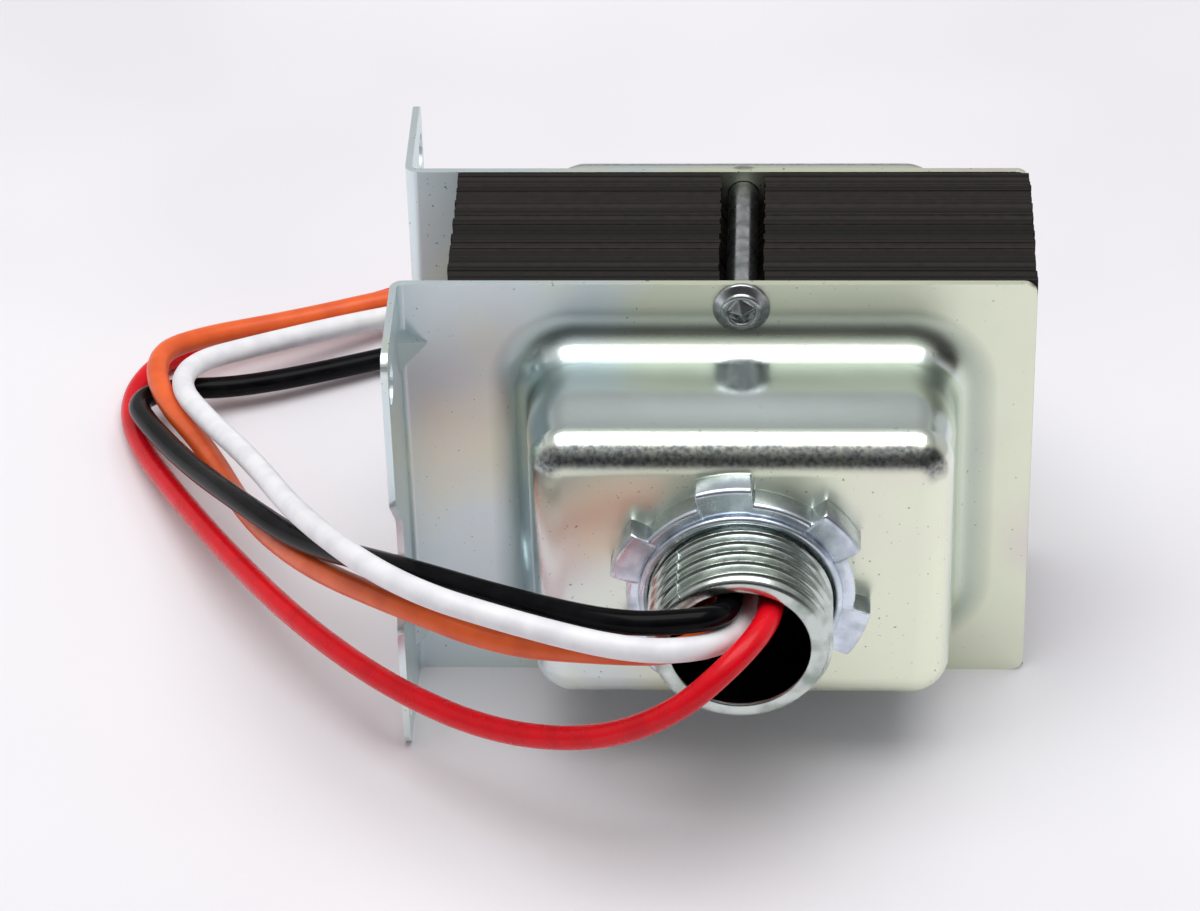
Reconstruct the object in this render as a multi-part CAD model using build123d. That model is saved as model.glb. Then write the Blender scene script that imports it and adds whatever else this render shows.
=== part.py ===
"""A foot-mounted 24 V control transformer with a threaded conduit hub.

Millimetres, +Z up, standing on its lower edges as on a bench. The origin is the centre of the four
foot holes, on the mounting plane: X leaves the mounting plane into the part, Y runs through the
lamination stack, and the hub with the primary leads points to -Y.
"""

from build123d import *
import math
import os

# sheet-metal covers
SHEET = 0.8
FOOT_GAP = 6.4
PLATE_LIP = 0.1
CORNER_R = 1.5
BEND_R = 0.7
FOOT_DEPTH = 15.95
FOOT_CORNER_R = 2.0
NOTCH_HEIGHT = 18.0
NOTCH_FLOOR = 5.0
NOTCH_DEPTH = 6.0
NOTCH_OFFSET = -1.3
NOTCH_R = 2.5
FOOT_HOLE_R = 2.3
FOOT_HOLE_FROM_EDGE = 3.2
FOOT_HOLE_FROM_TOP = 5.4
GUSSET_FROM_EDGE = 7.9
GUSSET_HEIGHT = 4.0
GUSSET_REACH = 3.2

# drawn pans of the covers
DOME_SIDE_ROOM = 4.2
DOME_RIVET_ROOM = 15.8
DOME_BASE_R = 6.0
DOME_SIDE_DRAFT = 1.1
FRONT_DOME_DEPTH = 18.3
FRONT_TOP_DRAFT = 7.0
REAR_DOME_DEPTH = 19.5
REAR_TOP_DRAFT = 5.3
DOME_FACE_R = 4.2
DOME_EDGE_R = 2.3
DOME_ROOT_R = 1.4

# lamination stack
TONGUE = 22.2
LAM_SHEET = 0.635
LAM_COUNT = 35
STACK_GAP = 0.18
LAM_JOINT = 0.05
RIVET_NOTCH_WIDTH = 5.1

# rivets
RIVET_SHANK_R = 1.75
RIVET_HOLE_R = 1.85
RIVET_FROM_EDGE = 3.0
RIVET_RING_R = 3.25
RIVET_RING_HEIGHT = 0.55
RIVET_ROLL_R = 2.35
RIVET_ROLL_HEIGHT = 0.75
RIVET_POINT_R = 1.5
RIVET_POINT_HEIGHT = 0.8
RIVET_HEAD_HEIGHT = 1.7
RIVET_SOFTEN = 0.3
RIVET_DIP = 0.2
RIVET_POINT_TAPER = 38

# coil
BOBBIN_CLEAR = 0.2
BOBBIN_WALL = 1.0
BOBBIN_FLANGE = 1.0
BOBBIN_DIVIDER = 0.9
WINDING_ROOM = 3.0
WINDING_FIT = 0.05
TAPE = 0.4
DIVIDER_OFFSET = 2.4

# conduit hub
HUB_THREAD_R = 10.4
HUB_BORE_R = 7.8
HUB_LENGTH = 12.7
HUB_FLANGE_R = 12.6
HUB_FLANGE = 1.5
HUB_CHAMFER = 1.1
HUB_MOUTH_CHAMFER = 0.4
HUB_FIT = 0.05
NUT_THICKNESS = 3.1
NUT_ROOT_R = 12.9
NUT_LUG_R = 14.9
NUT_LUGS = 6
NUT_LUG_WIDTH = 6.6
NUT_LUG_TURN = 97.5
NUT_CHAMFER = 0.45
NUT_EDGE_R = 0.5

# leads
LEAD_R = 1.4
STRAND_R = 0.6
STRIP_LENGTH = 9.0
BUSHING = 1.2
BUSHING_HOLE_R = 1.5
BUSHING_FIT = 0.1
SPLICE_R = 1.8
SPLICE_GAP = 0.3
RUN_SHARE = 0.45

# secondary terminals on the rear dome
BOARD_HEIGHT = 19.0
BOARD = 2.4
BOARD_R = 2.0
BARRIER = 1.3
BARRIER_HEIGHT = 4.6
TERMINAL_PLATE = 0.8
TERMINAL_WIDTH = 8.2
TERMINAL_INNER_ROOM = 1.45
TERMINAL_OUTER_ROOM = 0.25
TERMINAL_SPACING = TERMINAL_WIDTH + BARRIER + 2 * TERMINAL_INNER_ROOM
BARRIER_SPACING = (TERMINAL_SPACING + TERMINAL_WIDTH + BARRIER) / 2 + TERMINAL_OUTER_ROOM
TERMINAL_HEIGHT = 11.6
TAIL_WIDTH = 2.6
WINDOW_ROOM = 1.5
WINDOW_WIDTH = TERMINAL_SPACING + TAIL_WIDTH + 2 * WINDOW_ROOM
WINDOW_HEIGHT = 6.0
TAIL_DROP = 5.2
TAIL_REACH = 2.5
TAIL_WIRE_R = 0.7
SCREW_R = 1.7
SCREW_HEAD_R = 3.4
SCREW_HEAD = 1.9
SCREW_LENGTH = 3.0
SCREW_SLOT = 0.9
SCREW_Z = 1.6
EYELET_R = 1.5
EYELET_HEAD_R = 2.2
EYELET_HEAD = 0.6
EYELET_ROOM = 0.55
EYELET_EDGE = 2.9
EYELET_SPACING = 2 * BARRIER_SPACING + BARRIER + 2 * EYELET_HEAD_R + 2 * EYELET_ROOM
BOARD_WIDTH = EYELET_SPACING + 2 * EYELET_EDGE

# places that follow from the sizes
WINDOW = TONGUE / 2
CORE_WIDTH = 3 * TONGUE
CORE_HEIGHT = 2.5 * TONGUE
PLATE_WIDTH = CORE_WIDTH + FOOT_GAP
PLATE_HEIGHT = CORE_HEIGHT + PLATE_LIP
DOME_BASE_WIDTH = 2 * TONGUE + DOME_SIDE_ROOM
DOME_BASE_HEIGHT = CORE_HEIGHT - DOME_RIVET_ROOM
DOME_FACE_WIDTH = DOME_BASE_WIDTH - DOME_SIDE_DRAFT
FRONT_FACE_HEIGHT = DOME_BASE_HEIGHT - FRONT_TOP_DRAFT
REAR_FACE_HEIGHT = DOME_BASE_HEIGHT - REAR_TOP_DRAFT
WINDING_BUILD = WINDOW - WINDING_ROOM
STACK = LAM_COUNT * LAM_SHEET
CORE_X = PLATE_WIDTH - CORE_WIDTH / 2
PLATE_IN = STACK / 2 + STACK_GAP
PLATE_OUT = PLATE_IN + SHEET
FOOT_OUT = PLATE_IN + FOOT_DEPTH
RIVET_Z = CORE_HEIGHT / 2 - RIVET_FROM_EDGE
FRONT_FACE = PLATE_OUT + FRONT_DOME_DEPTH
REAR_FACE = PLATE_OUT + REAR_DOME_DEPTH
FOOT_HOLE_Y = FOOT_OUT - FOOT_HOLE_FROM_EDGE
FOOT_HOLE_Z = PLATE_HEIGHT / 2 - FOOT_HOLE_FROM_TOP
SPOOL = TONGUE + 2 * BOBBIN_CLEAR
SPOOL_DEPTH = STACK + 2 * BOBBIN_CLEAR
SPOOL_HEIGHT = 3 * WINDOW - 2 * BOBBIN_CLEAR
COIL_OUT = BOBBIN_WALL + WINDING_FIT + WINDING_BUILD
HUB_INNER = FRONT_FACE - SHEET - HUB_FLANGE
HUB_MOUTH = FRONT_FACE + HUB_LENGTH
LEAD_START = HUB_INNER - SPLICE_GAP

# lead routes, from the splice inside the pan to the cut end of the insulation behind the part, with X
# counted from the hub's axis
ROUTES = {
    "black_lead": [
        (-1.5, -LEAD_START, 5.4), (-1.5, -34.8, 5.4), (-0.6, -43.1, 6.0), (-4.3, -47.2, 7.6),
        (-13.2, -46.6, 6.3), (-25.2, -39.9, 4.3), (-39.2, -31.5, 2.7), (-51.3, -15.4, -6.7),
        (-60.2, -1.8, -11.0), (-69.1, 14.8, -17.5), (-76.1, 28.6, -21.2), (-78.7, 35.6, -23.0),
        (-75.3, 39.4, -23.5), (-65.1, 41.3, -24.6), (-48.7, 49.0, -25.7), (-33.7, 56.5, -26.3),
        (-19.7, 59.5, -26.3),
    ],
    "white_lead": [
        (0.7, -LEAD_START, 0.9), (0.7, -34.8, 0.9), (0.1, -43.4, 3.4), (-3.5, -49.0, 4.2),
        (-11.7, -50.5, 5.0), (-24.2, -45.0, 4.7), (-38.1, -38.9, 5.5), (-51.2, -17.0, -1.8),
        (-59.7, 5.2, -9.6), (-67.3, 21.5, -15.5), (-72.4, 32.3, -18.0), (-71.5, 41.2, -20.5),
        (-64.7, 46.6, -21.9), (-51.7, 55.6, -24.2), (-36.7, 63.2, -26.1), (-21.7, 65.2, -26.35),
    ],
    "orange_lead": [
        (-4.1, -LEAD_START, 1.2), (-4.1, -34.8, 1.2), (-3.7, -42.4, 2.0), (-7.7, -46.2, 1.3),
        (-15.7, -44.8, -0.4), (-26.7, -39.6, -2.2), (-38.9, -32.1, -2.5), (-50.9, -16.7, -9.0),
        (-59.9, 0.6, -15.2), (-67.4, 20.1, -19.0), (-74.9, 33.5, -20.6), (-76.7, 42.2, -20.4),
        (-72.8, 48.4, -21.9), (-59.7, 55.6, -23.9), (-46.7, 61.9, -24.5), (-33.7, 68.0, -26.0),
        (-19.7, 71.0, -26.35),
    ],
    "red_lead": [
        (3.3, -LEAD_START, 4.2), (3.3, -35.2, 4.2), (3.9, -43.4, 5.6), (-0.5, -50.1, 4.1),
        (-7.2, -51.8, -2.2), (-16.2, -48.6, -8.6), (-27.7, -42.6, -12.5), (-39.7, -33.2, -14.1),
        (-51.7, -19.2, -15.9), (-62.5, -1.2, -19.3), (-71.5, 16.4, -23.0), (-78.3, 31.0, -25.9),
        (-80.5, 41.2, -26.35), (-77.3, 50.0, -26.35), (-67.7, 55.4, -26.35), (-53.7, 61.2, -26.35),
        (-41.7, 68.0, -26.35), (-29.7, 76.4, -26.35), (-15.7, 80.0, -26.35),
    ],
}


def box_between(x, y, z):
    """A block from three (low, high) pairs."""
    size = [high - low for low, high in (x, y, z)]
    centre = [(high + low) / 2 for low, high in (x, y, z)]
    return Pos(*centre) * Box(*size)


def across(y):
    """A plane at this Y whose X runs along +X, whose Y runs along +Z, and which faces -Y."""
    return Plane(origin=(CORE_X, y, 0), x_dir=(1, 0, 0), z_dir=(0, -1, 0))


def rounded(width, height, radius, y):
    """A rounded rectangle on the plane across the stack at this Y."""
    return across(y) * RectangleRounded(width, height, radius)


def turned(profile, y0, x=CORE_X, z=0.0):
    """A solid of revolution about an axis along -Y, from (radius, distance from y0) points."""
    plane = Plane(origin=(x, y0, z), x_dir=(1, 0, 0), z_dir=(0, 0, 1))
    outline = Polyline(*[(r, -t) for r, t in profile], close=True)
    axis = Axis((x, y0, z), (0, 1, 0))
    return revolve(plane * make_face(outline), axis=axis)


def rod(radius, x, y_low, y_high, z):
    """A round bar along Y."""
    return Pos(x, (y_low + y_high) / 2, z) * Rot(90, 0, 0) * Cylinder(radius, y_high - y_low)


def pan(depth, face_height, inset):
    """The drawn pan as a solid on the plate's outer face, or its hollow when inset is the sheet."""
    foot = rounded(
        DOME_BASE_WIDTH - 2 * inset, DOME_BASE_HEIGHT - 2 * inset, DOME_BASE_R - inset, -PLATE_OUT
    )
    face = rounded(
        DOME_FACE_WIDTH - 2 * inset,
        face_height - 2 * inset,
        DOME_FACE_R - inset,
        -PLATE_OUT - depth + inset,
    )
    body = loft([foot, face])
    rim = body.faces().sort_by(Axis.Y)[0].edges()
    return fillet(rim, DOME_EDGE_R - inset)


def gusset(z):
    """The triangular dimple pressed into the bend, as a rib that narrows away from the corner."""
    half = GUSSET_HEIGHT / 2
    corner = Plane(origin=(SHEET, -PLATE_OUT, z), x_dir=(1, 0, 0), z_dir=(0, 0, 1))
    web = corner * make_face(
        Polyline((0, 0), (GUSSET_REACH, 0), (0, -GUSSET_REACH), close=True)
    )
    foot = Plane(origin=(SHEET, -PLATE_OUT, z), x_dir=(1, 0, 0), z_dir=(0, -1, 0)) * make_face(
        Polyline((0, -half), (GUSSET_REACH, 0), (0, half), close=True)
    )
    return extrude(web, half, both=True) & extrude(foot, GUSSET_REACH)


def foot_outline():
    """The foot flange seen along X: two ears with a wide shallow notch between them."""
    half = PLATE_HEIGHT / 2
    low, high = NOTCH_OFFSET - NOTCH_HEIGHT / 2, NOTCH_OFFSET + NOTCH_HEIGHT / 2
    inner_low, inner_high = NOTCH_OFFSET - NOTCH_FLOOR / 2, NOTCH_OFFSET + NOTCH_FLOOR / 2
    points = [
        (0, -half), (FOOT_OUT, -half), (FOOT_OUT, low), (FOOT_OUT - NOTCH_DEPTH, inner_low),
        (FOOT_OUT - NOTCH_DEPTH, inner_high), (FOOT_OUT, high), (FOOT_OUT, half), (0, half),
    ]
    plane = Plane(origin=(0, 0, 0), x_dir=(0, -1, 0), z_dir=(-1, 0, 0))
    face = plane * make_face(Polyline(*points, close=True))
    outer = [v for v in face.vertices() if abs(v.Y + FOOT_OUT) < SHEET / 10]
    ends = [v for v in outer if abs(abs(v.Z) - half) < SHEET / 10]
    mouth = [v for v in outer if v not in ends]
    face = fillet(ends, FOOT_CORNER_R)
    near = [v for v in face.vertices() if any((v.center() - m.center()).length < 0.01 for m in mouth)]
    face = fillet(near, NOTCH_R)
    deep = [v for v in face.vertices() if abs(v.Y + FOOT_OUT - NOTCH_DEPTH) < SHEET / 10]
    return fillet(deep, NOTCH_R)


def cover(depth, face_height):
    """One cover facing -Y: plate, foot flange, bend with its dimples, and the drawn pan."""
    half = PLATE_HEIGHT / 2
    plate = box_between((0, PLATE_WIDTH), (-PLATE_OUT, -PLATE_IN), (-half, half))
    flange = box_between((0, SHEET), (-FOOT_OUT, -PLATE_IN), (-half, half))
    sheet = plate + flange
    bend_out = sheet.edges().filter_by(Axis.Z).sort_by_distance((0, -PLATE_IN, 0))[0]
    sheet = fillet(bend_out, BEND_R + SHEET)
    bend_in = sheet.edges().filter_by(Axis.Z).sort_by_distance((SHEET, -PLATE_OUT, 0))[0]
    sheet = fillet(bend_in, BEND_R)
    far_x = sheet.edges().filter_by(Axis.Y).sort_by(Axis.X)[-2:]
    sheet = fillet(far_x, CORNER_R)
    blank = extrude(foot_outline(), -PLATE_WIDTH)
    keep = blank + box_between(
        (SHEET, PLATE_WIDTH), (-PLATE_OUT, -PLATE_IN), (-half, half)
    )
    sheet = sheet & keep
    for side in (-1, 1):
        sheet += gusset(side * (half - GUSSET_FROM_EDGE))
    sheet += pan(depth, face_height, 0)
    root = [
        e
        for e in sheet.edges()
        if abs(e.center().Y + PLATE_OUT) < 0.01
        and abs(e.center().X - CORE_X) < DOME_BASE_WIDTH / 2 + 0.1
        and abs(e.center().Z) < DOME_BASE_HEIGHT / 2 + 0.1
    ]
    sheet = fillet(root, DOME_ROOT_R)
    hollow = pan(depth, face_height, SHEET)
    hollow += extrude(
        rounded(
            DOME_BASE_WIDTH - 2 * SHEET, DOME_BASE_HEIGHT - 2 * SHEET, DOME_BASE_R - SHEET, -PLATE_OUT
        ),
        -2 * SHEET,
    )
    sheet -= hollow
    for side_y in (-FOOT_HOLE_Y,):
        for side_z in (-1, 1):
            drill = Pos(SHEET / 2, side_y, side_z * FOOT_HOLE_Z) * Rot(0, 90, 0)
            sheet -= drill * Cylinder(FOOT_HOLE_R, 4 * SHEET)
    for side in (-1, 1):
        sheet -= rod(RIVET_HOLE_R, CORE_X, -PLATE_OUT - SHEET, -PLATE_IN + SHEET, side * RIVET_Z)
    return sheet


def front_cover():
    """The cover with the knockout for the conduit hub."""
    return cover(FRONT_DOME_DEPTH, FRONT_FACE_HEIGHT) - rod(
        HUB_THREAD_R + HUB_FIT, CORE_X, -FRONT_FACE - SHEET, -FRONT_FACE + 2 * SHEET, 0
    )


def rear_cover():
    """The same pressing turned round, with a window for the terminal tails and eyelet holes."""
    shell = cover(REAR_DOME_DEPTH, REAR_FACE_HEIGHT)
    shell -= box_between(
        (CORE_X - WINDOW_WIDTH / 2, CORE_X + WINDOW_WIDTH / 2),
        (-REAR_FACE - SHEET, -REAR_FACE + 2 * SHEET),
        (-TAIL_DROP - WINDOW_HEIGHT / 2, -TAIL_DROP + WINDOW_HEIGHT / 2),
    )
    for side in (-1, 1):
        shell -= rod(
            EYELET_R + HUB_FIT,
            CORE_X + side * EYELET_SPACING / 2,
            -REAR_FACE - SHEET,
            -REAR_FACE + 2 * SHEET,
            0,
        )
    return mirror(shell, Plane.XZ)


def e_outline():
    """One E sheet with its yoke at the top, drawn on X and Z about the core's centre."""
    top, low = CORE_HEIGHT / 2, -CORE_HEIGHT / 2 + WINDOW + LAM_JOINT
    blank = Pos(0, (top + low) / 2) * Rectangle(CORE_WIDTH, top - low)
    window_top = top - WINDOW
    for side in (-1, 1):
        slot = Rectangle(WINDOW, window_top - low)
        blank -= Pos(side * 1.5 * WINDOW, (window_top + low) / 2) * slot
    return blank - rivet_notch()


def i_outline():
    """The I bar that closes the E at the bottom."""
    low = -CORE_HEIGHT / 2
    blank = Pos(0, low + WINDOW / 2) * Rectangle(CORE_WIDTH, WINDOW)
    return blank - Rot(0, 0, 180) * rivet_notch()


def rivet_notch():
    """The round-bottomed notch that the rivet lies in, at the middle of the top edge."""
    edge = CORE_HEIGHT / 2
    half = RIVET_NOTCH_WIDTH / 2
    return Pos(0, RIVET_Z) * Circle(half) + Pos(0, (RIVET_Z + edge + half) / 2) * Rectangle(
        RIVET_NOTCH_WIDTH, edge + half - RIVET_Z
    )


def laminations(outline):
    """Every sheet of one shape, turned end for end from one layer to the next."""
    sheets = []
    for layer in range(LAM_COUNT):
        y = STACK / 2 - layer * LAM_SHEET
        shape = Rot(0, 0, 180 * (layer % 2)) * outline
        sheets.append(extrude(across(y) * shape, LAM_SHEET))
    return sheets


def ring(inner_x, inner_y, build, z_low, z_high, radius):
    """A rectangular tube about the tongue, with rounded corners."""
    level = Plane.XY.offset(z_low)
    outside = RectangleRounded(inner_x + 2 * build, inner_y + 2 * build, radius + build)
    inside = RectangleRounded(inner_x, inner_y, radius)
    return Pos(CORE_X, 0, 0) * extrude(level * (outside - inside), z_high - z_low)


def bobbin():
    """The moulded two-section spool on the tongue."""
    half = SPOOL_HEIGHT / 2
    body = ring(SPOOL, SPOOL_DEPTH, BOBBIN_WALL, -half, half, WINDING_FIT)
    reach = COIL_OUT + TAPE + 2 * WINDING_FIT
    for z, thick in (
        (-half, BOBBIN_FLANGE),
        (half - BOBBIN_FLANGE, BOBBIN_FLANGE),
        (DIVIDER_OFFSET - BOBBIN_DIVIDER / 2, BOBBIN_DIVIDER),
    ):
        body += ring(SPOOL, SPOOL_DEPTH, reach, z, z + thick, WINDING_FIT)
    return body


def winding(z_low, z_high):
    """One section's copper, wound on the spool, and the tape round it."""
    start = BOBBIN_WALL + WINDING_FIT
    copper = ring(
        SPOOL + 2 * start, SPOOL_DEPTH + 2 * start, WINDING_BUILD, z_low, z_high, start + WINDING_FIT
    )
    out = start + WINDING_BUILD
    tape = ring(
        SPOOL + 2 * out, SPOOL_DEPTH + 2 * out, TAPE, z_low, z_high, out + WINDING_FIT
    )
    return copper, tape


def rivet(z):
    """A semi-tubular rivet: domed head behind, rolled tail with a pointed centre in front."""
    face = PLATE_OUT
    total = 2 * face
    head = []
    steps = 8
    for i in range(steps + 1):
        turn = math.pi / 2 * i / steps
        head.append((RIVET_RING_R * math.cos(turn), -RIVET_HEAD_HEIGHT * math.sin(turn)))
    ring_top = total + RIVET_RING_HEIGHT
    roll_top = ring_top + RIVET_ROLL_HEIGHT
    profile = [(0, -RIVET_HEAD_HEIGHT)] + head[::-1][1:] + [
        (RIVET_SHANK_R, 0),
        (RIVET_SHANK_R, total),
        (RIVET_RING_R, total),
        (RIVET_RING_R, total + RIVET_RING_HEIGHT / 2),
        (RIVET_ROLL_R + RIVET_SOFTEN, ring_top),
        (RIVET_ROLL_R, roll_top - RIVET_SOFTEN),
        (RIVET_ROLL_R - RIVET_SOFTEN, roll_top),
        (RIVET_POINT_R, roll_top - RIVET_DIP),
        (0, roll_top - RIVET_DIP),
    ]
    body = turned(profile, face, z=z)
    seat = Plane(origin=(CORE_X, -face - RIVET_RING_HEIGHT - RIVET_ROLL_HEIGHT + RIVET_SOFTEN, z),
                 x_dir=(1, 0, 0), z_dir=(0, -1, 0))
    point = extrude(
        seat * Rot(0, 0, 45) * Rectangle(RIVET_POINT_R * 1.4, RIVET_POINT_R * 1.4),
        RIVET_POINT_HEIGHT,
        taper=RIVET_POINT_TAPER,
    )
    return body + point


def conduit_hub():
    """The threaded nipple, flanged inside the pan. Its thread is left smooth here."""
    start, mouth = HUB_INNER, HUB_MOUTH
    neck = start + HUB_FLANGE
    profile = [
        (HUB_BORE_R, start), (HUB_FLANGE_R, start), (HUB_FLANGE_R, neck), (HUB_THREAD_R, neck),
        (HUB_THREAD_R, mouth - HUB_CHAMFER), (HUB_THREAD_R - HUB_CHAMFER, mouth),
        (HUB_BORE_R + HUB_MOUTH_CHAMFER, mouth), (HUB_BORE_R, mouth - HUB_MOUTH_CHAMFER),
    ]
    return turned(profile, 0)


def hub_locknut():
    """The stamped locknut: a ring with six square lugs, rounded over at the front."""
    nut = Circle(NUT_ROOT_R)
    for i in range(NUT_LUGS):
        turn = NUT_LUG_TURN + 360 / NUT_LUGS * i
        nut += Rot(0, 0, turn) * Pos(NUT_LUG_R / 2, 0) * Rectangle(NUT_LUG_R, NUT_LUG_WIDTH)
    nut &= Circle(NUT_LUG_R)
    solid = extrude(across(-FRONT_FACE) * nut, NUT_THICKNESS)
    front = -FRONT_FACE - NUT_THICKNESS
    rim = [e for e in solid.edges() if abs(e.center().Y - front) < 0.01]
    solid = fillet([e for e in rim if e.length > 0.5], NUT_EDGE_R)
    solid -= rod(HUB_THREAD_R + HUB_FIT, CORE_X, front - 1, -FRONT_FACE + 1, 0)
    bore = solid.edges().filter_by(GeomType.CIRCLE)
    rim = [e for e in bore if abs(e.radius - HUB_THREAD_R - HUB_FIT) < 0.01 and e.center().Y < front + 0.01]
    return chamfer(rim, NUT_CHAMFER)


def lead_bushing():
    """The fibre disc in the hub that the leads pass through."""
    disc = turned(
        [
            (0, HUB_INNER), (HUB_BORE_R - BUSHING_FIT, HUB_INNER),
            (HUB_BORE_R - BUSHING_FIT, HUB_INNER + BUSHING), (0, HUB_INNER + BUSHING),
        ],
        0,
    )
    for route in ROUTES.values():
        x, _, z = placed(route)[0]
        disc -= rod(BUSHING_HOLE_R, x, -HUB_INNER - 2 * BUSHING, -HUB_INNER + BUSHING, z)
    return disc


def lead_splices():
    """The sleeved joints between the primary winding and the leads, in front of the coil."""
    coil_face = SPOOL_DEPTH / 2 + COIL_OUT + TAPE
    sleeves = []
    for route in ROUTES.values():
        x, y, z = placed(route)[0]
        sleeves.append(rod(SPLICE_R, x, y, -coil_face - SPLICE_GAP, z))
    return sleeves


def placed(route):
    """A route's points in the row frame."""
    return [(CORE_X + x, y, z) for x, y, z in route]


def lead(points):
    """A round wire along straight runs joined by tangent arcs, with its bend radii printed."""
    runs = [math.dist(a, b) for a, b in zip(points, points[1:])]
    radii = []
    for before, here, after, one, other in zip(points, points[1:], points[2:], runs, runs[1:]):
        turn = (Vector(*here) - Vector(*before)).get_angle(Vector(*after) - Vector(*here))
        radii.append(RUN_SHARE * min(one, other) / math.tan(math.radians(turn / 2)))
    path = FilletPolyline(*points, radius=radii)
    tube = sweep(Plane(origin=path @ 0, z_dir=path % 0) * Circle(LEAD_R), path=path)
    expected = math.pi * LEAD_R**2 * path.length
    print(
        f"length {path.length:.1f}, radii {min(radii):.1f} to {max(radii):.1f}, "
        f"volume {tube.volume / expected:.4f} of section times length"
    )
    print("  radii", [round(r, 1) for r in radii])
    print("  runs", [round(r, 1) for r in runs])
    return tube


def bare_end(points):
    """The twisted copper strands that stick out of the cut insulation."""
    tip, before = Vector(*points[-1]), Vector(*points[-2])
    along = (tip - before).normalized()
    plane = Plane(origin=tip, z_dir=along)
    return extrude(plane * Circle(STRAND_R), STRIP_LENGTH)


def terminal_board():
    """The moulded board on the rear dome, with a barrier each side of the two terminals."""
    back = REAR_FACE + BOARD
    plane = Plane(origin=(CORE_X, REAR_FACE, 0), x_dir=(-1, 0, 0), z_dir=(0, 1, 0))
    board = extrude(plane * RectangleRounded(BOARD_WIDTH, BOARD_HEIGHT, BOARD_R), BOARD)
    for x in (-BARRIER_SPACING, 0, BARRIER_SPACING):
        board += box_between(
            (CORE_X + x - BARRIER / 2, CORE_X + x + BARRIER / 2),
            (back - BOARD / 2, back + BARRIER_HEIGHT),
            (-BOARD_HEIGHT / 2 + BOARD_R, BOARD_HEIGHT / 2 - BOARD_R),
        )
    for x in (-TERMINAL_SPACING / 2, TERMINAL_SPACING / 2):
        board -= rod(SCREW_R + HUB_FIT, CORE_X + x, REAR_FACE - 1, back + 1, SCREW_Z)
        board -= box_between(
            (CORE_X + x - TAIL_WIDTH / 2 - HUB_FIT, CORE_X + x + TAIL_WIDTH / 2 + HUB_FIT),
            (REAR_FACE - 1, back + 1),
            (-TAIL_DROP - TERMINAL_PLATE / 2 - HUB_FIT, -TAIL_DROP + TERMINAL_PLATE / 2 + HUB_FIT),
        )
    for side in (-1, 1):
        board -= rod(EYELET_R + HUB_FIT, CORE_X + side * EYELET_SPACING / 2, REAR_FACE - 1, back + 1, 0)
    return board


def terminal_plates():
    """Two brass tabs, each bent through the board into a solder tail."""
    face = REAR_FACE + BOARD
    plates = []
    for x in (CORE_X - TERMINAL_SPACING / 2, CORE_X + TERMINAL_SPACING / 2):
        tab = box_between(
            (x - TERMINAL_WIDTH / 2, x + TERMINAL_WIDTH / 2),
            (face, face + TERMINAL_PLATE),
            (-TAIL_DROP - TERMINAL_PLATE / 2, -TAIL_DROP - TERMINAL_PLATE / 2 + TERMINAL_HEIGHT),
        )
        tab += box_between(
            (x - TAIL_WIDTH / 2, x + TAIL_WIDTH / 2),
            (REAR_FACE - TAIL_REACH, face + TERMINAL_PLATE / 2),
            (-TAIL_DROP - TERMINAL_PLATE / 2, -TAIL_DROP + TERMINAL_PLATE / 2),
        )
        plates.append(tab - rod(SCREW_R + HUB_FIT, x, face - 1, face + 2, SCREW_Z))
    return plates


def terminal_screws():
    """Two binding-head screws in the tabs."""
    seat = REAR_FACE + BOARD + TERMINAL_PLATE
    screws = []
    for x in (CORE_X - TERMINAL_SPACING / 2, CORE_X + TERMINAL_SPACING / 2):
        screw = rod(SCREW_R, x, seat - SCREW_LENGTH, seat + 0.1, SCREW_Z)
        head = rod(SCREW_HEAD_R, x, seat, seat + SCREW_HEAD, SCREW_Z)
        top = head.edges().filter_by(GeomType.CIRCLE).sort_by(Axis.Y)[-1]
        head = fillet(top, SCREW_HEAD / 3)
        slot = box_between(
            (x - SCREW_HEAD_R, x + SCREW_HEAD_R),
            (seat + SCREW_HEAD / 2, seat + 2 * SCREW_HEAD),
            (SCREW_Z - SCREW_SLOT / 2, SCREW_Z + SCREW_SLOT / 2),
        )
        screws.append(screw + head - slot)
    return screws


def board_eyelets():
    """Two rolled eyelets that hold the board to the dome."""
    low, high = REAR_FACE - SHEET, REAR_FACE + BOARD
    eyelets = []
    for side in (-1, 1):
        x = CORE_X + side * EYELET_SPACING / 2
        body = rod(EYELET_R, x, low - EYELET_HEAD, high + EYELET_HEAD, 0)
        body += rod(EYELET_HEAD_R, x, low - EYELET_HEAD, low, 0)
        body += rod(EYELET_HEAD_R, x, high, high + EYELET_HEAD, 0)
        eyelets.append(body - rod(EYELET_R / 2, x, low - 2, high + 2, 0))
    return eyelets


def secondary_tails():
    """The insulated wires from the secondary section to the solder tails."""
    coil_face = SPOOL_DEPTH / 2 + COIL_OUT + TAPE
    wires = []
    for x in (CORE_X - TERMINAL_SPACING / 2, CORE_X + TERMINAL_SPACING / 2):
        wires.append(rod(TAIL_WIRE_R, x, coil_face + WINDING_FIT, REAR_FACE - TAIL_REACH, -TAIL_DROP))
    return wires


def save(name, shape):
    """Write one node; a list of solids becomes one file."""
    solids = shape if isinstance(shape, list) else [shape]
    parts = [s for item in solids for s in item.solids()]
    export_step(parts[0] if len(parts) == 1 else Compound(children=parts), f"parts/{name}.step")


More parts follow.
